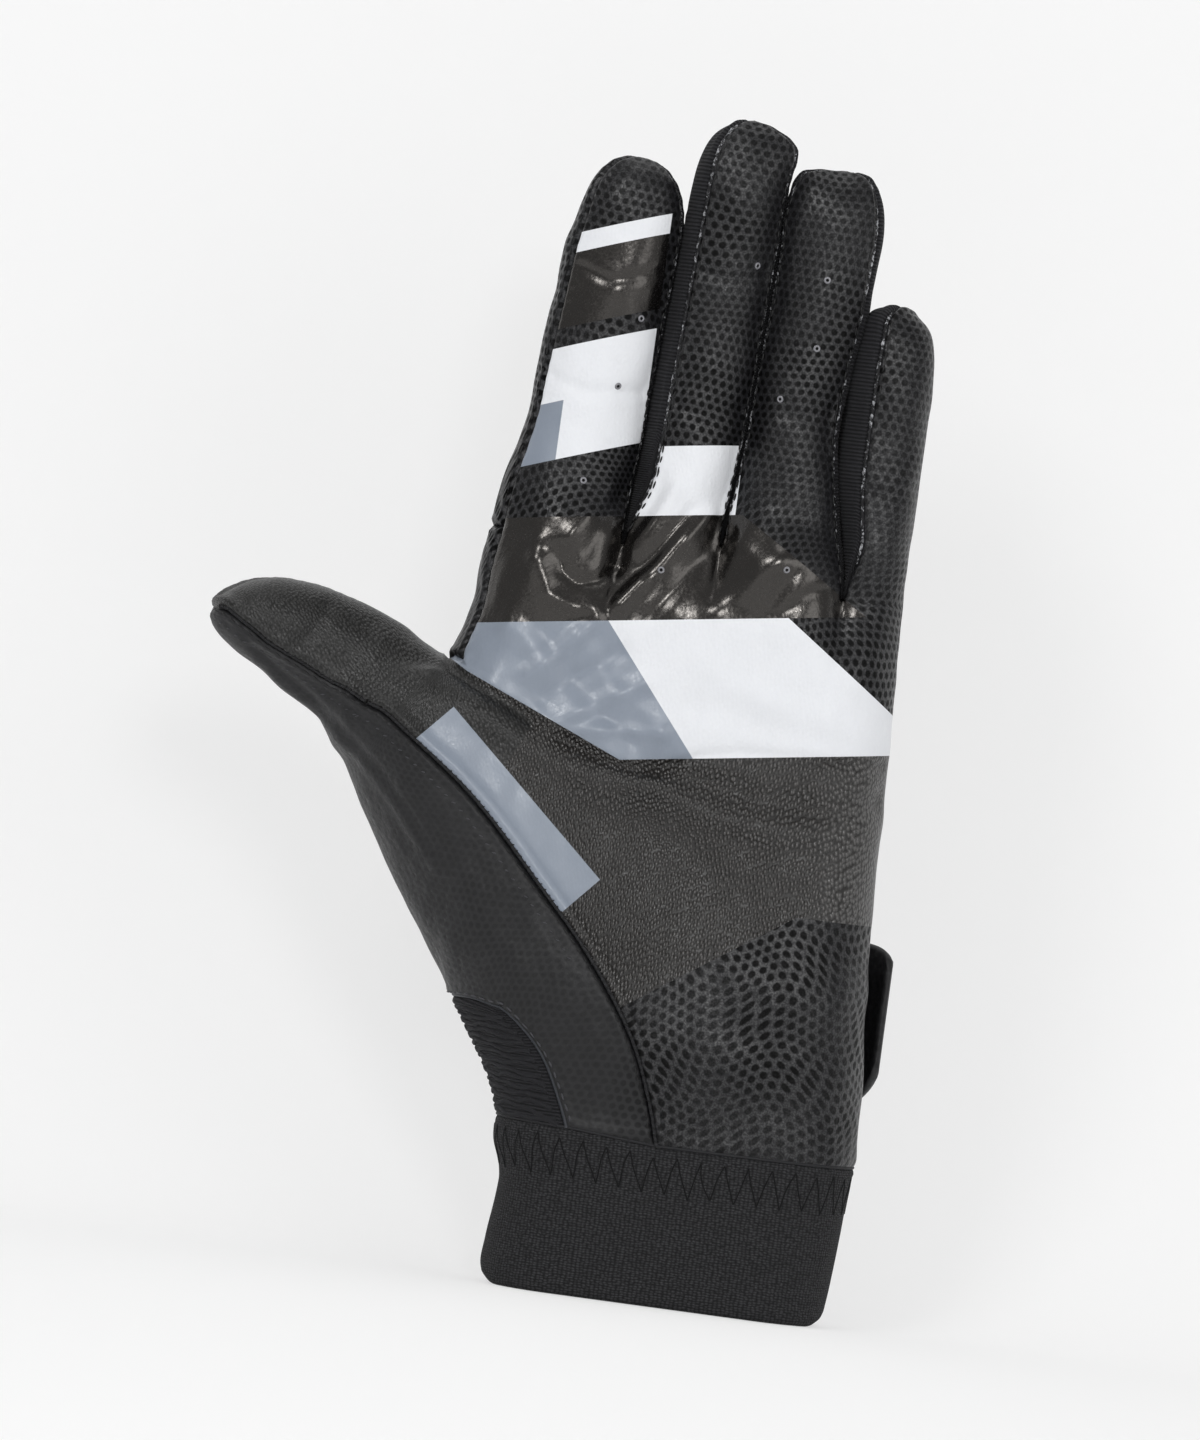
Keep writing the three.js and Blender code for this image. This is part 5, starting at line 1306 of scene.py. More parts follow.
# %% Plain finishes: thread, rubber, hooks
def plain(name, colour, roughness, lump_mm=0.3, depth_mm=0.03, shine=0.4):
    """A finish of one colour with a fine uneven face."""
    made, tree, output = new_material(name)
    place = add(tree, "ShaderNodeTexCoord").outputs["Object"]
    lumps = add(tree, "ShaderNodeTexNoise", {"Vector": place, "Scale": per_metre(lump_mm), "Detail": 3.0,
                                             "Roughness": 0.55})
    normal = bumps(tree, (lumps, depth_mm, 0.7))
    return finished(made, tree, output, **{"Base Color": linear(colour), "Roughness": roughness,
                    "Normal": normal, "Specular IOR Level": shine})


RUBBER = plain("soft_moulded_rubber", "#29292c", 0.42, 0.5)
HOOK = plain("nylon_hook_tape", "#1c1c1d", 0.6)
BLACK_THREAD = plain("black_thread", "#0d0d0e", 0.55, 0.15)
# The black for the vent holes is painted shade inside each hole.
HOLE_SHADE = plain("painted_hole_shade", "#060606", 0.8, 0.15, shine=0.15)
SOFT_THREAD = plain("soft_thread", "#131314", 0.8, 0.15, shine=0.15)
GREY_THREAD = plain("grey_thread", "#3d3d41", 0.6, 0.15)
DARK_CORD = plain("dark_cord", "#262628", 0.7, 0.2, 0.05, 0.25)

# A raw edge is dark, and pale specks are painted on it here and there as highlights
raw, tree, output = new_material("raw_leather_edge")
place = add(tree, "ShaderNodeTexCoord").outputs["Object"]
highlight_speck, fibre = (
    add(tree, "ShaderNodeTexNoise", {"Vector": place, "Scale": per_metre(size_mm), "Detail": detail,
                                     "Roughness": roughness})
    for size_mm, detail, roughness in ((1.1, 4.0, 0.7), (0.25, 3.0, 0.55)))
highlight_speck = add(tree, "ShaderNodeMapRange", {"Value": highlight_speck, 1: 0.52, 2: 0.62, 3: 0.0, 4: 1.0})
colour = add(tree, "ShaderNodeMix", {0: highlight_speck, 6: linear("#1e1e20"), 7: linear("#a2a3a7")},
             data_type="RGBA").outputs[2]
RAW_EDGE = finished(raw, tree, output, **{"Base Color": colour, "Roughness": 0.7,
                    "Normal": bumps(tree, (fibre, 0.06, 0.8)), "Specular IOR Level": 0.3})

# %% [markdown]
# ## The sewn panels
# Each piece is one panel of leather or fabric with its real thickness, cut from the skin along its
# seams. A panel that crosses a knuckle is in two pieces that share a line of points: the lower one
# belongs to the hand and the upper one to the finger's zone. The outer points of both pieces are the
# same there, and so are their normals, so no line shows.

# %% Making a closed wall
THICKNESS = {"palm": 1.1, "side": 0.9, "finger_back": 1.0, "back": 1.0, "flex": 0.9, "thumb_outer": 1.1,
             "mesh_gusset": 0.8, "binding_left": 1.3, "binding_right": 1.3, "wrist_gusset": 0.9,
             "hem": 1.7, "band": 1.7, "tape": 1.7}
# Lengths round a finger's knuckle and along the thumb's arc; carry() finds these places but bends nothing
FINGER_BEND, THUMB_BEND = (-12.0, 14.0), (6.0, 27.0)


def closed_wall(name, outer, inner, cells, material, lengths=None, shared=None):
    """A closed piece in millimetres: its outer cells, its inner cells and a rim all round."""
    ids, local = np.unique(cells, return_inverse=True)
    local = local.reshape(-1, 4)
    count = len(ids)
    pole = local[:, 2] == local[:, 3]
    quads, triangles = local[~pole], local[pole][:, :3]
    edges = np.vstack([
        np.stack([shape, np.roll(shape, -1, 1)], -1).reshape(-1, 2) for shape in (quads, triangles)
    ])
    lone = ~np.isin(edges[:, 0] * count + edges[:, 1], edges[:, 1] * count + edges[:, 0])
    a, b = edges[lone].T
    rim = np.stack([b, a, a + count, b + count], -1)
    faces = [*quads.tolist(), *triangles.tolist(), *(quads[:, ::-1] + count).tolist(),
             *(triangles[:, ::-1] + count).tolist(), *rim.tolist()]
    mesh = bpy.data.meshes.new(name)
    mesh.from_pydata(np.vstack([outer[ids], inner[ids]]) * MM, [], faces)
    mesh.polygons.foreach_set("use_smooth", [True] * len(faces))
    if lengths is not None:
        corner = np.empty(len(mesh.loops), int)
        mesh.loops.foreach_get("vertex_index", corner)
        layer = mesh.uv_layers.new(name="lengths")
        layer.data.foreach_set("uv", (lengths[ids][corner % count] * MM).reshape(-1))
        view = mesh.uv_layers.new(name="view")
        view.data.foreach_set("uv", (np.vstack([outer[ids], inner[ids]])[corner][:, [0, 2]] * MM).reshape(-1))
    if shared is not None:
        kept = np.where(shared[ids][:, None], QN[ids], 0)
        mesh.normals_split_custom_set_from_vertices(np.vstack([kept, np.zeros_like(kept)]).tolist())
    mesh.materials.append(material)
    made = bpy.data.objects.new(name, mesh)
    bpy.context.scene.collection.objects.link(made)
    return made


def carry(piece, zone):
    """The piece is attached to the hand or the strap. For a finger or the thumb's end the two ends of the bend
    are found, but the piece is only baked in place.
    """
    if zone == "glove" or zone == "strap":
        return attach(piece, zone)
    if zone == "thumb":
        places = (thumb_arc(length)[1] for length in THUMB_BEND)
    else:
        finger = next(f for f in FINGERS if f["name"] == zone)
        places = (finger["knuckle"] + finger_axis(finger) * length for length in FINGER_BEND)
    start, end = (Vector((x * MM, 0, z * MM)) for x, z in places)
    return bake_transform(piece)



# %% The pieces of the skin
zone_low, zone_high = lowest_and_highest(ZONE)
between_zones = (zone_low < zone_high) | (same_band & (AWAY < 0.01))
centre_x = P[CELLS, 0].mean(1)
EVERYWHERE = (-999.0, 999.0)
web_x = CROTCHES[1:-1, 0]
SIDE_RANGES = [(-999.0, -17.0), (-17.0, 6.0), (6.0, 999.0)]
BACK_RANGES = list(zip([-999.0, *web_x], [*web_x, 999.0]))

# name, panel, zone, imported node, finish, slot
WHOLE_PANELS = [
    ("palm_hide", "palm", "glove", "palm_panel", PALM_FINISH, "printed_leather"),
    ("back_hide", "back", "glove", "back_panel", EMBOSSED, "palm_leather"),
    ("knuckle_flex", "flex", "glove", "knuckle_flex_panel", STRETCH, "ribbed_stretch"),
    ("thumb_side_hide", "thumb_outer", "glove", "thumb_outer_panel", OUTER_FINISH, "palm_leather"),
    ("thumb_mesh", "mesh_gusset", "glove", "thumb_mesh_gusset", STRETCH, "mesh_fabric"),
    ("slit_tape_left", "binding_left", "glove", "slit_binding_left", TAPE, "binding_tape"),
    ("slit_tape_right", "binding_right", "glove", "slit_binding_right", TAPE, "binding_tape"),
    ("wrist_mesh", "wrist_gusset", "glove", "wrist_gusset", STRETCH, "mesh_fabric"),
    ("cuff_lower_knit", "hem", "glove", "cuff_hem", KNIT, "elastic_knit"),
    ("cuff_knit", "band", "glove", "cuff_band", KNIT, "elastic_knit"),
    ("cuff_upper_knit", "tape", "glove", "cuff_tape", KNIT, "binding_tape"),
    ("thumb_end_front", "palm", "thumb", "thumb_tip_front", PALM_FINISH, "printed_leather"),
    ("thumb_end_outer", "thumb_outer", "thumb", "thumb_tip_outer", OUTER_FINISH, "palm_leather"),
]
# name, panel, zone, range of x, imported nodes, finish, slot
TABLE = [(name, panel, zone, EVERYWHERE, [node], finish, slot)
         for name, panel, zone, node, finish, slot in WHOLE_PANELS]
for k, pair in enumerate(zip(names, names[1:])):
    TABLE.append((f"{pair[0]}_{pair[1]}_side", "side", "glove", SIDE_RANGES[k],
                  [f"{pair[0]}_{pair[1]}_fourchette"], STRETCH, "ribbed_stretch"))
for k, name in enumerate(names):
    sides = [f"{name}_tip_{side}" for side, there in (("right", k < 3), ("left", k > 0)) if there]
    TABLE += [
        (f"{name}_lower_back", "finger_back", "glove", BACK_RANGES[k], [f"{name}_back"], EMBOSSED,
         "palm_leather"),
        (f"{name}_front", "palm", name, EVERYWHERE, [f"{name}_tip_front"], PALM_FINISH, "printed_leather"),
        (f"{name}_upper_back", "finger_back", name, EVERYWHERE, [f"{name}_tip_back"], EMBOSSED,
         "palm_leather"),
        (f"{name}_sides", "side", name, EVERYWHERE, sides, STRETCH, "ribbed_stretch"),
    ]
BACK_PANELS = ("back", "finger_back", "flex", "wrist_gusset", "binding_left", "binding_right")
pieces = {}
for name, panel, zone, (x_from, x_to), nodes, finish, slot in TABLE:
    chosen = (PANEL == CODE[panel]) & (ZONE == ZONES.index(zone))
    chosen &= (centre_x > x_from) & (centre_x < x_to)
    inner = Q - QN * THICKNESS[panel]
    lengths = np.stack([U_BACK if panel in BACK_PANELS else U_FRONT, V], -1)
    piece = closed_wall(name, Q, inner, CELLS[chosen], finish, lengths, between_zones)
    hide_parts(*nodes)
    carry(piece, zone)
    pieces[name] = piece
print("panels:", len(pieces), "faces:", sum(len(p.data.polygons) for p in pieces.values()))

# %% [markdown]
# ## The wrist strap
# The strap is two layers of synthetic leather sewn round their edge. It is anchored beside the slit,
# crosses the back of the wrist and turns a little way round the little-finger side, which is where
# the photograph shows its end. It closes on a loop pad, and a moulded tab makes it easy to pull.

# %% Strap sizes and its base surface
STRAP_THICKNESS, STRAP_HEIGHT, STRAP_ABOVE_CUFF = 1.8, 34.0, 11.5
STRAP_BEYOND_EDGE, STRAP_HINGE_X, STRAP_RISE, STRAP_ANCHOR = 1.4, -23.0, 12.0, 14.0
STRAP_END_SHARE, STRAP_END_TURN, STRAP_HINGE_GAP = 0.52, 68.0, 0.5
STRAP_ROUND_LENGTH, STRAP_END_RISE = 10.0, 2.9
PAD_GAP, PAD_THICKNESS, PAD_START_X, EDGE_INSET = 0.45, 0.9, 15.5, 2.4
HOOK_LENGTH, HOOK_HEIGHT, LOOP_LENGTH, LOOP_HEIGHT = 15.0, 24.0, 16.0, 27.0
TAB_LENGTH, TAB_HEIGHT, TAB_THICKNESS, TAB_INSET = 13.0, 19.0, 1.3, 4.0
strap_low = CUFF_HEIGHT + STRAP_ABOVE_CUFF
strap_middle = strap_low + STRAP_HEIGHT / 2
strap_end_x = at(RAILS["little_side"], 0.5)[0] + STRAP_BEYOND_EDGE
turn_radius = EDGE_RADIUS + STRAP_BEYOND_EDGE
flat_length = strap_end_x - turn_radius - STRAP_HINGE_X
strap_length = flat_length + turn_radius * math.radians(STRAP_END_TURN)
hinge_depths = hand_y(np.array([(STRAP_HINGE_X, strap_low), (STRAP_HINGE_X, strap_low + STRAP_HEIGHT)]), 1)
pad_stack = 3 * PAD_GAP + 2 * PAD_THICKNESS


def strap_base(along, z):
    """The strap's base at a length along it: over the back of the hand, then round its side."""
    depth = mix(*hinge_depths, (z - strap_low) / STRAP_HEIGHT)
    turn = np.maximum(along - flat_length, 0) / turn_radius
    x = STRAP_HINGE_X + np.minimum(along, flat_length) + turn_radius * np.sin(turn)
    return np.stack([x, depth * np.cos(turn), z], -1)


def back_surface(x, z):
    return np.stack([x, hand_y(np.stack([x, z], -1), 1), z], -1)


def constant(value):
    """The same value at every length, for a plate's lift or reach."""
    return lambda along: np.full_like(along, value)


def into_end(along):
    """How far into the strap's round end a length lies, from 0 to 1."""
    return np.clip((along - strap_length + STRAP_ROUND_LENGTH) / STRAP_ROUND_LENGTH, 0, 1)


def strap_reach(along):
    """Half the strap's height, which rounds off towards its end."""
    return STRAP_HEIGHT / 2 * mix(STRAP_END_SHARE, 1, np.sqrt(1 - into_end(along) ** 2))


def strap_rise(along):
    """The strap's end narrows more from below than from above."""
    return STRAP_END_RISE * into_end(along) ** 2


def strap_lift(along):
    return mix(PAD_GAP, pad_stack, smooth(along / STRAP_RISE))


def normals(surface, u, z, tiny=0.05):
    """The directions out of a surface, from places a tiny step away on each side."""
    normal = np.cross(surface(u, z + tiny) - surface(u, z - tiny),
                      surface(u + tiny, z) - surface(u - tiny, z))
    return normal / np.linalg.norm(normal, axis=-1, keepdims=True)


def plate(name, finish, surface, start, end, middle, reach, lift, thickness, step=0.8, relief=None,
          edge_radius=None, rise=np.zeros_like):
    """A closed plate of even thickness with round edges, which follows a surface."""
    columns = max(round((end - start) / step), 8)
    rows = max(round(2 * float(np.max(reach(np.array([start])))) / step), 8)
    # Points crowd towards the edges, so that these are round
    bend = (1 - np.cos(np.linspace(0, math.pi, columns + 1))) / 2
    along = start + (end - start) * mix(np.linspace(0, 1, columns + 1), bend, 0.5)
    across = mix(np.linspace(-1, 1, rows + 1), -np.cos(np.linspace(0, math.pi, rows + 1)), 0.5)
    u, v = np.meshgrid(along, across, indexing="ij")
    half = reach(along)[:, None]
    z = middle + rise(along)[:, None] + v * half
    edge = np.minimum(np.minimum(u - start, end - u), half * (1 - np.abs(v)))
    thin = np.sqrt(1 - (1 - np.clip(edge / (edge_radius or thickness / 2), 0, 1)) ** 2)
    base, normal = surface(u, z), normals(surface, u, z)
    centre = (lift(u) + thickness / 2)[..., None]
    swell = (thickness / 2 * mix(0.2, 1, thin))[..., None]
    raised = 0 if relief is None else relief(u, z, edge)[..., None]
    outer = base + normal * (centre + swell + raised)
    inner = base + normal * (centre - swell)
    ids = np.arange(u.size).reshape(u.shape)
    cells = np.stack([ids[:-1, :-1], ids[:-1, 1:], ids[1:, 1:], ids[1:, :-1]], -1).reshape(-1, 4)
    lengths = np.stack([u, z], -1).reshape(-1, 2)
    return closed_wall(name, outer.reshape(-1, 3), inner.reshape(-1, 3), cells, finish, lengths)


def sewn_edge(u, z, edge):
    """A stitch groove a little inside the edge, with a soft roll outside it."""
    return 0.15 * hump(edge, 0.6, 1.3) - 0.35 * hump(edge, 0.45, EDGE_INSET)


# %% Strap pieces
def tab_reach(along):
    """Half the tab's height, with rounded corners."""
    into = 1 - np.minimum(along - strap_length + TAB_INSET + TAB_LENGTH, strap_length - TAB_INSET - along) / 5
    return TAB_HEIGHT / 2 * (0.62 + 0.38 * np.sqrt(1 - np.clip(into, 0, 1) ** 2))


strap = plate("strap_leather", OUTER_FINISH, strap_base, STRAP_HINGE_GAP, strap_length, strap_middle,
              strap_reach, strap_lift, STRAP_THICKNESS, relief=sewn_edge, rise=strap_rise)
hook_at = PAD_START_X - STRAP_HINGE_X
hook = plate("hook_pad", HOOK, strap_base, hook_at, hook_at + HOOK_LENGTH, strap_middle,
             constant(HOOK_HEIGHT / 2), constant(pad_stack - PAD_GAP - PAD_THICKNESS), PAD_THICKNESS)
tab_end = strap_length - TAB_INSET
tab = plate("pull_tab", RUBBER, strap_base, tab_end - TAB_LENGTH, tab_end, strap_middle,
            tab_reach, constant(pad_stack + STRAP_THICKNESS + PAD_GAP), TAB_THICKNESS, edge_radius=2.5)
loop = plate("loop_pad", LOOP, back_surface, PAD_START_X, PAD_START_X + LOOP_LENGTH, strap_middle,
             constant(LOOP_HEIGHT / 2), constant(PAD_GAP), PAD_THICKNESS)
anchor = plate("anchor_leather", OUTER_FINISH, back_surface, STRAP_HINGE_X - STRAP_ANCHOR, STRAP_HINGE_X,
               strap_middle, constant(STRAP_HEIGHT / 2), constant(PAD_GAP), STRAP_THICKNESS, relief=sewn_edge)
for piece, node, slot, body in (
    (strap, "wrist_strap", "strap_leather", "strap"),
    (hook, "strap_hook_pad", "hook_tape", "strap"),
    (tab, "strap_pull_tab", "moulded_rubber", "strap"),
    (loop, "back_loop_pad", "loop_tape", "glove"),
    (anchor, "strap_anchor", "strap_leather", "glove"),
):
    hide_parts(node)
    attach(piece, body)
print("strap length in mm:", round(strap_length, 1))

# %% [markdown]
# ## Thread, cords and holes
# What repeats along a seam is made by Geometry Nodes. A path is a chain of points on the finished
# skin, each with the outward direction there. One tree sets stitches along paths at an even pitch:
# a stitch is a short length of thread that dips into the leather at both ends, so a flat ellipsoid
# is enough. Another tree sweeps a round cord along a path, for piping and for the fuzzy raw edges
# of turned leather. A third sets vent holes: a soft raised rim, painted pale as a painted highlight,
# round a flat dark disc of painted shade that stands for the punched hole.


# %% Paths on the skin
def on_grid(ids, row, column):
    """Points and outward directions of the finished skin at fractional rows and columns."""
    row, column = np.broadcast_arrays(np.asarray(row, float), np.asarray(column, float))
    row = np.clip(row, 0, len(ids) - 1)
    r, c = np.minimum(row.astype(int), len(ids) - 2), np.floor(column).astype(int)
    fr, fc = (row - r)[..., None], (column - c)[..., None]
    count = ids.shape[1]
    low_left, low_right, high_left, high_right = (
        ids[r + i, (c + j) % count] for i in (0, 1) for j in (0, 1))
    return tuple(mix(mix(values[low_left], values[low_right], fc),
                     mix(values[high_left], values[high_right], fc), fr) for values in (Q, QN))


def beside(ids, rows, column, offset):
    """A path beside a seam's column, at a length along each ring from it."""
    reach = 30
    near = column + np.arange(-reach, reach + 1)
    ring = Q[ids[rows][:, near % ids.shape[1]]]
    run = np.cumsum(np.linalg.norm(np.diff(ring, axis=1), axis=2), axis=1)
    run = np.concatenate([np.zeros((len(rows), 1)), run], axis=1)
    run -= run[:, reach : reach + 1]
    at_column = np.array([np.interp(offset, lengths, near) for lengths in run])
    return on_grid(ids, rows, at_column)


paths = {}


def lay(kind, zone, path):
    """Keeps a path for one kind of stitching, under its zone."""
    if len(path[0]) > 1:
        paths.setdefault((kind, zone), []).append(path)


def lay_on_finger(kind, finger, column, offset, start, end):
    """A path along a finger's seam, split where the finger's own pieces begin."""
    along = finger["along"]
    split = -SPLIT_BELOW_KNUCKLE
    for zone, low, high in (("glove", start, min(split, end)), (finger["name"], max(split, start), end)):
        rows = np.flatnonzero((along >= low) & (along <= high))
        if len(rows) > 1:
            lay(kind, zone, beside(rings[finger["name"]], rows, column, offset))


def lay_on_thumb(kind, column, offset, start_row=0):
    """A path along the thumb's front seam, from the wrist to the thumb's tip."""
    rows = np.arange(start_row, len(hand))
    lay(kind, "glove", beside(hand, rows, column, offset))
    along = THUMB["along"]
    end = THUMB["length"] - 1.2
    for zone, low, high in (("glove", 0, THUMB_SPLIT), ("thumb", THUMB_SPLIT, end)):
        rows = np.flatnonzero((along >= low) & (along <= high))
        lay(kind, zone, beside(rings["thumb"], rows, column, offset))


# %% Seams of the fingers and the thumb
# kind, distance from the seam, where the row starts above the foot and ends below the tip
SIDE_ROWS = [("raw_edge", 0.5, 4, 0), ("overcast", 0.55, 4, 0), ("stitch", 1.9, 0, 3)]
for k, finger in enumerate(FINGERS):
    foot_length, tip = -finger["rise"] + 3, finger["shaft"] - 1.0
    columns = finger["columns"]
    sides = []
    if k > 0:
        sides.append((columns["front_left"], 1))
    if k < 3:
        sides.append((columns["front_right"], -1))
    for column, way in sides:
        for kind, offset, start, end in SIDE_ROWS:
            lay_on_finger(kind, finger, column, offset * way, foot_length + start, tip - end)
    for column, way in ((columns["back_right"], 1), (columns["back_left"], -1)):
        lay_on_finger("stitch", finger, column, 1.6 * way, foot_length + 2, tip - 3)
    if k == 0:
        lay_on_finger("stitch", finger, 0, -1.2, foot_length + 2, tip - 1)
# Two rows hold the middle finger's left seam, where it is sewn over the printed face
lay_on_finger("stitch", FINGERS[1], 0, 1.25, -FINGERS[1]["rise"] + 2, 14)

THUMB_SEAM, THUMB_SEAM_BEHIND = GUSSET + OUTER, FORK_BEHIND + INNER
lay_on_thumb("turned_edge", THUMB_SEAM, 0.6)
lay_on_thumb("overcast", THUMB_SEAM, 0.75)
lay_on_thumb("stitch", THUMB_SEAM, -1.3)
lay_on_thumb("fine_stitch", THUMB_SEAM, -3.9, 60)

# %% Seams of the mesh gusset, the cuff and the back
# The path runs up one side of the gusset, over its top and down the other side, round its corners
for kind, offset in (("piping", 0.25), ("stitch_grey", 1.7)):
    reach, top_row, turn = GUSSET + offset, corner_row + offset * 1.3, np.radians(np.linspace(0, 90, 9))
    bow, bow_rows = 2.0, 2.6
    corner_rows = top_row - bow_rows * (1 - np.sin(turn))
    corner_columns = reach - bow * (1 - np.cos(turn))
    rows = np.concatenate([np.arange(0, top_row - bow_rows), corner_rows])
    columns = np.concatenate([np.full(len(rows) - len(turn), reach), corner_columns])
    level = np.linspace(corner_columns[-1], -corner_columns[-1], 40)[1:-1]
    lay(kind, "glove", on_grid(hand, np.concatenate([rows, np.full(len(level), top_row), rows[::-1]]),
                               np.concatenate([columns, level, -columns[::-1]])))

# The elastic's upper edge is a fine turned line, and a zigzag stitch lies below it
all_round = np.arange(hand.shape[1] + 1.0)
lay("fold_line", "glove", on_grid(hand, np.full(len(all_round), 0.35), all_round))
ZIGZAG_PITCH, ZIGZAG_TOP, ZIGZAG_LOW = 4.6, 28.8, 21.5
cuff_rows = np.interp([ZIGZAG_LOW, ZIGZAG_TOP], levels, np.arange(len(levels)))
ring_steps = np.linalg.norm(np.diff(Q[[*cuff[30], cuff[30, 0]]], axis=0), axis=1)
ring_run = np.concatenate([[0], np.cumsum(ring_steps)])
turns = round(ring_run[-1] / ZIGZAG_PITCH) * 2
turn_columns = np.interp(np.linspace(0, ring_run[-1], turns + 1), ring_run, all_round)
fine = np.linspace(0, turns, turns * 8 + 1)
swing = np.abs((fine % 2) - 1)
wobble = 0.25 * np.sin(fine * 1.7) + 0.15 * np.sin(fine * 4.1)
lay("zigzag", "glove", on_grid(cuff, mix(cuff_rows[0], cuff_rows[1], swing) + wobble,
                               np.interp(fine, np.arange(turns + 1), turn_columns)))

# The mesh gusset has soft ribs across it, which wave a little
RIB_STEP = 1.55
side_run = up_the_columns(hand)[: corner_row, 0]
rib_generator = np.random.default_rng(11)
for height_mm in np.arange(1.5, side_run[-1] - 1, RIB_STEP):
    columns = np.arange(-GUSSET + 1.2, GUSSET - 1.0, 0.5)
    row = np.interp(height_mm, side_run, np.arange(len(side_run)))
    wave = 0.8 * np.sin(columns * 0.55 + rib_generator.uniform(0, 6.3))
    wave += 0.4 * np.sin(columns * 1.3 + rib_generator.uniform(0, 6.3))
    lay("rib", "glove", on_grid(hand, row + wave - 0.012 * columns**2, columns))

# Back panels: one row of stitches beside each seam
flex_row = round(PALM_ROWS * FLEX_SHARE)
behind = np.arange(FRONT_ALL + SIDE + 2, FRONT_ALL + BACK_ALL - 1.0)
for rows_below in (2.2, 4.4):
    lay("stitch", "glove", on_grid(palm, np.full(len(behind), flex_row - rows_below), behind))
little_seam = LITTLE_EDGE + SIDE
for offset in (-1.5, 1.5):
    lay("stitch", "glove", beside(hand, np.arange(4, len(hand)), little_seam, offset))
    lay("stitch", "glove", beside(palm, np.arange(0, len(palm) - 6), little_seam - THUMB_ALL, offset))
for offset in (1.5, -1.5):
    lay("stitch", "glove", beside(hand, np.arange(4, len(hand) - 4), THUMB_SEAM_BEHIND, offset))
slit_top = round(HAND_ROWS * SLIT_SHARE)
slit_columns = FORK_BEHIND - np.interp([6, 7, 9, 10], back_column, np.arange(BACK_ALL + 1))
for column, way in zip(np.round(slit_columns).astype(int), (1, -1, 1, -1)):
    lay("stitch", "glove", beside(hand, np.arange(2, slit_top - 1), column, 0.6 * way))
print("paths:", {f"{kind} {zone}": len(found) for (kind, zone), found in paths.items()})

# %% Vent holes
VENTS = [(-31.8, 179.3), (-7.3, 206.9), (7.0, 205.8), (6.4, 192.2), (-29.1, 193.4), (-35.6, 159.7),
         (-18.4, 144.4), (6.5, 147.4), (0.8, 181.4)]
facing_viewer = USED[QN[USED, 1] < -0.5]
vents = {}
for spot_at in VENTS:
    nearest = facing_viewer[np.linalg.norm(Q[facing_viewer][:, [0, 2]] - spot_at, axis=1).argmin()]
    vents.setdefault(ZONES[zone_high[nearest]], []).append((Q[nearest][None], QN[nearest][None]))
print("vents:", {zone: len(found) for zone, found in vents.items()})

# %% Seam round the strap and the anchor
def strap_path(surface, lift, start, end, reach, inset, thickness):
    """A closed path on a plate, a little inside its edge."""
    u = np.linspace(start + inset, end - inset, 60)
    half = reach(u) - inset
    side = np.linspace(-1, 1, 30)[1:-1]
    u = np.concatenate([u, np.full(len(side), u[-1]), u[::-1], np.full(len(side), u[0])])
    v = np.concatenate([-half, side * half[-1], half[::-1], -side * half[0]])
    z = strap_middle + v
    if surface is strap_base:
        z = z + strap_rise(u)
    normal = normals(surface, u, z)
    found = surface(u, z) + normal * (lift(u) + thickness)[:, None]
    return np.vstack([found, found[:1]]), np.vstack([normal, normal[:1]])


for kind, inset, sunk in (("stitch", EDGE_INSET, 0.3), ("strap_piping", 1.0, 0.15)):
    lay(kind, "strap", strap_path(strap_base, strap_lift, STRAP_HINGE_GAP, strap_length, strap_reach,
                                  inset, STRAP_THICKNESS - sunk))
lay("stitch", "glove", strap_path(back_surface, constant(PAD_GAP), STRAP_HINGE_X - STRAP_ANCHOR,
                                  STRAP_HINGE_X, constant(STRAP_HEIGHT / 2), EDGE_INSET, STRAP_THICKNESS - 0.3))


# %% The three trees
def new_tree(name, sockets):
    """An empty Geometry Nodes tree with named inputs, and its first and last nodes."""
    tree = bpy.data.node_groups.new(name, "GeometryNodeTree")
    tree.interface.new_socket("Path", in_out="INPUT", socket_type="NodeSocketGeometry")
    for label, kind in sockets:
        tree.interface.new_socket(label, in_out="INPUT", socket_type=kind)
    tree.interface.new_socket("Result", in_out="OUTPUT", socket_type="NodeSocketGeometry")
    return tree, tree.nodes.new("NodeGroupInput").outputs, tree.nodes.new("NodeGroupOutput").inputs


NUMBER, WHOLE, FINISH = "NodeSocketFloat", "NodeSocketInt", "NodeSocketMaterial"


def outward(tree):
    return add(tree, "GeometryNodeInputNamedAttribute", {"Name": "out"}, data_type="FLOAT_VECTOR")


def moved(tree, geometry, way, length):
    """Geometry with each point moved a length along its own direction."""
    offset = add(tree, "ShaderNodeVectorMath", {0: way, "Scale": length}, operation="SCALE")
    return add(tree, "GeometryNodeSetPosition", {"Geometry": geometry, "Offset": offset})


def lifted_path(tree, given, step):
    """The path as a curve with points a step apart, lifted out of the skin."""
    curve = add(tree, "GeometryNodeMeshToCurve", {"Mesh": given["Path"]})
    curve = add(tree, "GeometryNodeResampleCurve", {"Curve": curve, "Length": step}, mode="LENGTH")
    return moved(tree, curve, outward(tree), given["Lift"])


def end_tree(tree, result, given, geometry):
    """Smooth shading and the finish, unless the parts have their own, then the tree's result."""
    geometry = add(tree, "GeometryNodeRealizeInstances", {"Geometry": geometry})
    geometry = add(tree, "GeometryNodeSetShadeSmooth", {"Geometry": geometry})
    if given is not None:
        geometry = add(tree, "GeometryNodeSetMaterial",
                       {"Geometry": geometry, "Material": given["Finish"]})
    tree.links.new(geometry.outputs[0], result["Result"])


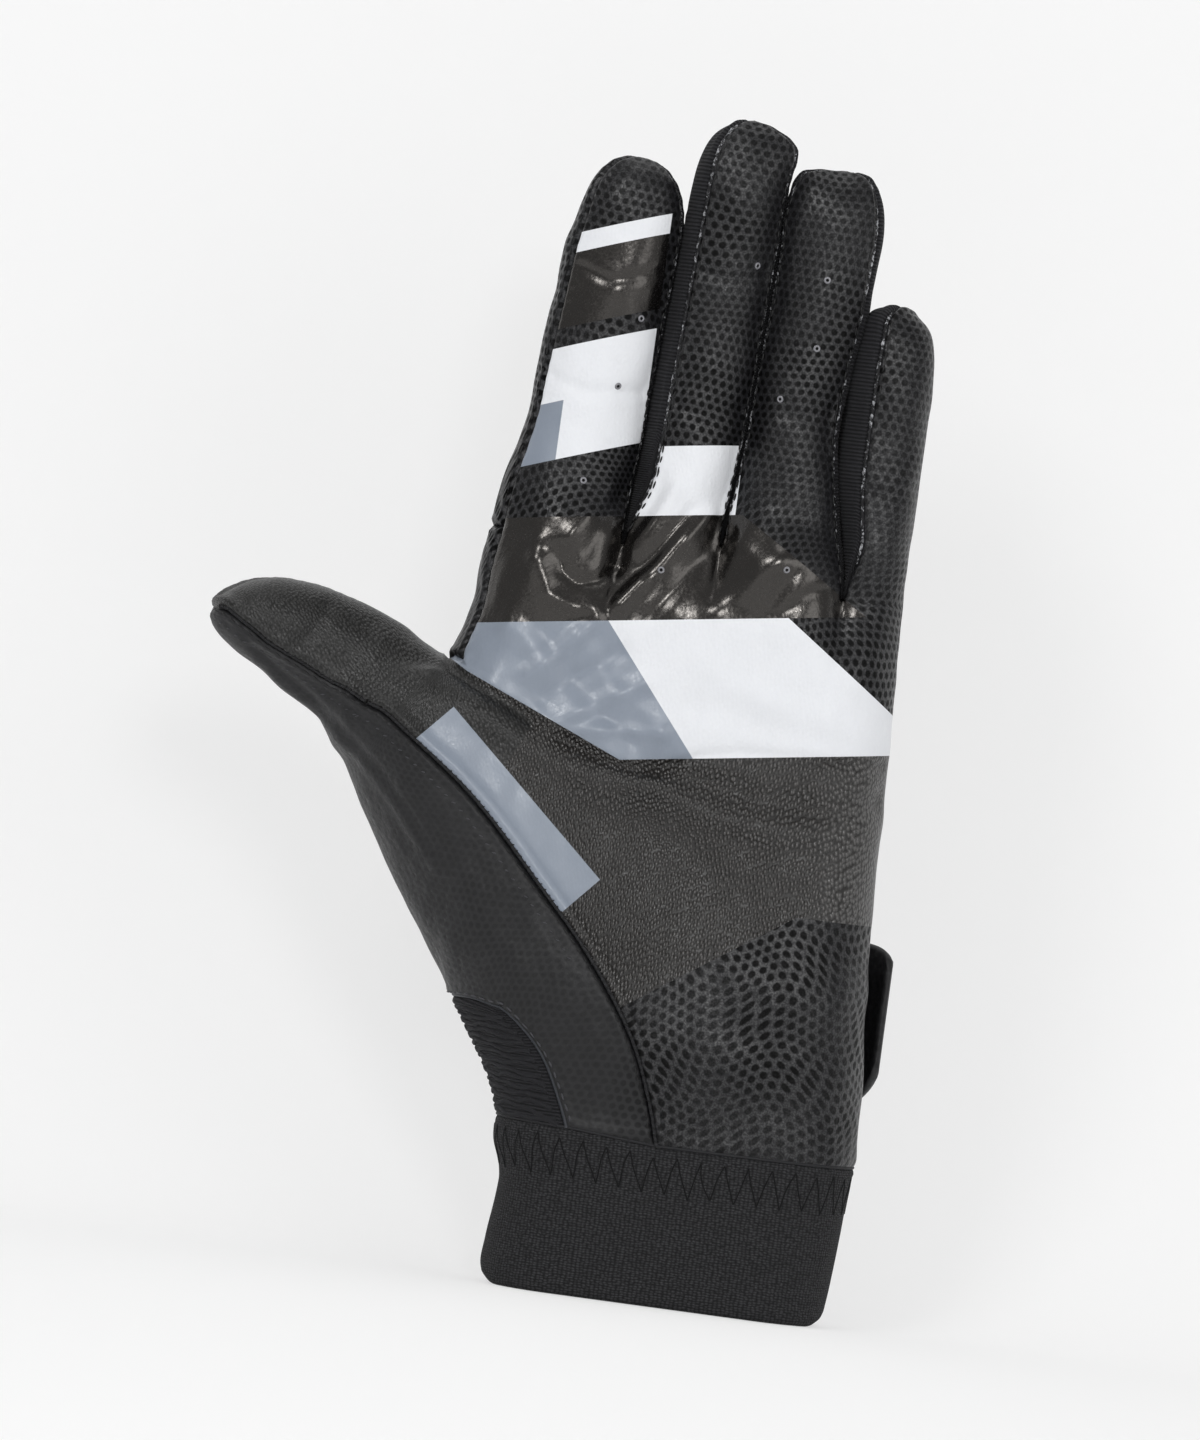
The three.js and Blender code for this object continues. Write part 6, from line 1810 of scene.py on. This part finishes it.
def turned_to_path(tree, slant=None):
    """A rotation whose X runs along the path and whose Z points out of the skin."""
    tangent = add(tree, "GeometryNodeInputTangent")
    first = add(tree, "FunctionNodeAlignRotationToVector", {"Vector": tangent}, axis="X")
    turned = add(tree, "FunctionNodeAlignRotationToVector", {"Rotation": first, "Vector": outward(tree)},
                 axis="Z", pivot_axis="X")
    if slant is None:
        return turned
    angles = add(tree, "ShaderNodeCombineXYZ", {"Z": slant})
    by = add(tree, "FunctionNodeEulerToRotation", {0: angles})
    return add(tree, "FunctionNodeRotateRotation", {"Rotation": turned, "Rotate By": by},
               rotation_space="LOCAL")


stitch_tree, given, result = new_tree("stitches", [("Pitch", NUMBER), ("Length", NUMBER), ("Radius", NUMBER),
                                      ("Lift", NUMBER), ("Slant", NUMBER), ("Seed", WHOLE), ("Finish", FINISH)])
curve = lifted_path(stitch_tree, given, given["Pitch"])
thread = add(stitch_tree, "GeometryNodeMeshUVSphere", {"Segments": 8, "Rings": 6, "Radius": 1.0})
half_length = add(stitch_tree, "ShaderNodeMath", {0: given["Length"], 1: 0.5}, operation="MULTIPLY")
shape = add(stitch_tree, "ShaderNodeCombineXYZ", {"X": half_length, "Y": given["Radius"], "Z": given["Radius"]})
thread = add(stitch_tree, "GeometryNodeTransform", {"Geometry": thread, "Scale": shape})
jitter = add(stitch_tree, "FunctionNodeRandomValue", {"Min": (-0.14,) * 3, "Max": (0.14,) * 3,
             "Seed": given["Seed"]}, data_type="FLOAT_VECTOR")
turn = add(stitch_tree, "ShaderNodeSeparateXYZ", {0: jitter}).outputs["X"]
turn = add(stitch_tree, "ShaderNodeMath", {0: given["Slant"], 1: turn}, operation="ADD")
size = add(stitch_tree, "FunctionNodeRandomValue", {"Min": (0.85, 0.85, 0.85), "Max": (1.12, 1.15, 1.15),
           "Seed": given["Seed"]}, data_type="FLOAT_VECTOR")
made = add(stitch_tree, "GeometryNodeInstanceOnPoints", {"Points": curve, "Instance": thread, "Scale": size,
           "Rotation": turned_to_path(stitch_tree, turn)})
end_tree(stitch_tree, result, given, made)

cord_tree, given, result = new_tree("cords", [("Step", NUMBER), ("Radius", NUMBER), ("Lift", NUMBER),
                                    ("Fuzz", NUMBER), ("Fuzz size", NUMBER), ("Finish", FINISH)])
curve = lifted_path(cord_tree, given, given["Step"])
ring = add(cord_tree, "GeometryNodeCurvePrimitiveCircle",
           {"Resolution": 8, "Radius": given["Radius"]})
tube = add(cord_tree, "GeometryNodeCurveToMesh", {"Curve": curve, "Profile Curve": ring,
                                                  "Fill Caps": True})
inverse = add(cord_tree, "ShaderNodeMath", {0: 1.0, 1: given["Fuzz size"]}, operation="DIVIDE")
lumps = add(cord_tree, "ShaderNodeTexNoise", {"Scale": inverse, "Detail": 2.0})
push = add(cord_tree, "ShaderNodeMath", {0: lumps, 1: 0.5}, operation="SUBTRACT")
push = add(cord_tree, "ShaderNodeMath", {0: push, 1: given["Fuzz"]}, operation="MULTIPLY")
normal = add(cord_tree, "GeometryNodeInputNormal")
end_tree(cord_tree, result, given, moved(cord_tree, tube, normal, push))

vent_tree, given, result = new_tree("vents", [("Hole", NUMBER), ("Rim", NUMBER), ("Dark", FINISH),
                                              ("Finish", FINISH)])
circle, profile_ring = (
    add(vent_tree, "GeometryNodeCurvePrimitiveCircle", {"Resolution": sides, "Radius": radius})
    for sides, radius in ((14, given["Hole"]), (6, given["Rim"])))
rim = add(vent_tree, "GeometryNodeCurveToMesh", {"Curve": circle, "Profile Curve": profile_ring})
hole = add(vent_tree, "GeometryNodeMeshUVSphere",
           {"Segments": 10, "Rings": 6, "Radius": given["Hole"]})
hole = add(vent_tree, "GeometryNodeTransform", {"Geometry": hole, "Scale": (1.0, 1.0, 0.2)})
rim, hole = (
    add(vent_tree, "GeometryNodeSetMaterial", {"Geometry": part, "Material": finish})
    for part, finish in ((rim, given["Finish"]), (hole, given["Dark"])))
vent = add(vent_tree, "GeometryNodeJoinGeometry")
for part in (rim, hole):
    vent_tree.links.new(part.outputs[0], vent.inputs[0])
turned = add(vent_tree, "FunctionNodeAlignRotationToVector", {"Vector": outward(vent_tree)}, axis="Z")
made = add(vent_tree, "GeometryNodeInstanceOnPoints", {"Points": given["Path"],
           "Instance": vent, "Rotation": turned})
end_tree(vent_tree, result, None, made)
print("trees:", [t.name for t in bpy.data.node_groups if t.bl_idname == "GeometryNodeTree"])


# %% Running the trees over the paths
def grow(name, tree, found, settings):
    """Runs a tree over paths and keeps its result as one plain mesh."""
    points = np.vstack([path[0] for path in found]) * MM
    out = np.vstack([path[1] for path in found])
    starts = np.cumsum([0, *(len(path[0]) for path in found)])
    edges = [(i, i + 1) for start, end in zip(starts, starts[1:]) for i in range(start, end - 1)]
    mesh = bpy.data.meshes.new(name)
    mesh.from_pydata(points.tolist(), edges, [])
    mesh.attributes.new("out", "FLOAT_VECTOR", "POINT").data.foreach_set("vector", out.reshape(-1))
    made = bpy.data.objects.new(name, mesh)
    bpy.context.scene.collection.objects.link(made)
    modifier = made.modifiers.new("grow", "NODES")
    modifier.node_group = tree
    identifiers = {item.name: item.identifier for item in tree.interface.items_tree
                   if item.in_out == "INPUT"}
    for label, value in settings.items():
        modifier[identifiers[label]] = value
    evaluated = made.evaluated_get(bpy.context.evaluated_depsgraph_get())
    grown = bpy.data.meshes.new_from_object(evaluated)
    made.modifiers.clear()
    made.data = grown
    grown.name = name
    return made


def stitches(pitch, length, radius, lift, finish, slant=0.0, seed=3):
    return stitch_tree, {"Pitch": pitch * MM, "Length": length * MM, "Radius": radius * MM,
                         "Lift": lift * MM, "Slant": slant, "Seed": seed, "Finish": finish}


def cords(step, radius, lift, finish, fuzz=0.0, fuzz_size=0.5):
    return cord_tree, {"Step": step * MM, "Radius": radius * MM, "Lift": lift * MM, "Fuzz": fuzz * MM,
                       "Fuzz size": fuzz_size * MM, "Finish": finish}


PIPING = plain("grey_piping", "#303237", 0.55, 0.4)
KINDS = {
    "stitch": stitches(2.2, 1.75, 0.2, 0.02, BLACK_THREAD),
    "stitch_grey": stitches(2.3, 1.6, 0.2, 0.03, GREY_THREAD),
    "fine_stitch": stitches(2.1, 0.9, 0.13, 0.02, GREY_THREAD, 0.5, 9),
    "overcast": stitches(1.35, 1.5, 0.16, 0.33, BLACK_THREAD, 1.05, 5),
    "raw_edge": cords(0.33, 0.44, 0.1, RAW_EDGE, 0.6, 0.55),
    "turned_edge": cords(0.4, 0.42, 0.05, DARK_CORD, 0.35, 0.7),
    "piping": cords(0.8, 0.42, 0.0, PIPING),
    "fold_line": cords(0.8, 0.3, 0.0, DARK_CORD, 0.06),
    "zigzag": cords(0.4, 0.14, 0.0, SOFT_THREAD),
    "rib": cords(0.5, 0.5, -0.12, STRETCH, 0.25, 0.6),
    "strap_piping": cords(0.8, 0.4, 0.0, PIPING),
}
for (kind, zone), found in paths.items():
    tree, settings = KINDS[kind]
    piece = grow(f"{zone}_{kind}", tree, found, settings)
    carry(piece, zone)
    pieces[piece.name] = piece
# The vent rims are painted pale as a painted highlight, and each hole is a flat dark disc of painted shade.
RIM_HIGHLIGHT = plain("vent_rim_highlight", "#77777c", 0.25, 0.5, shine=0.9)
for zone, found in vents.items():
    piece = grow(f"{zone}_vents", vent_tree, found, {"Hole": 0.5 * MM, "Rim": 0.24 * MM, "Dark": HOLE_SHADE,
                                                     "Finish": RIM_HIGHLIGHT})
    carry(piece, zone)
print("sewn pieces:", {f"{z}_{k}": len(pieces[f"{z}_{k}"].data.polygons) for k, z in paths})

# %% Print the scene's size, and finish
low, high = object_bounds()
print("scene box in mm:", [round(v / MM, 1) for v in (*low, *high)])
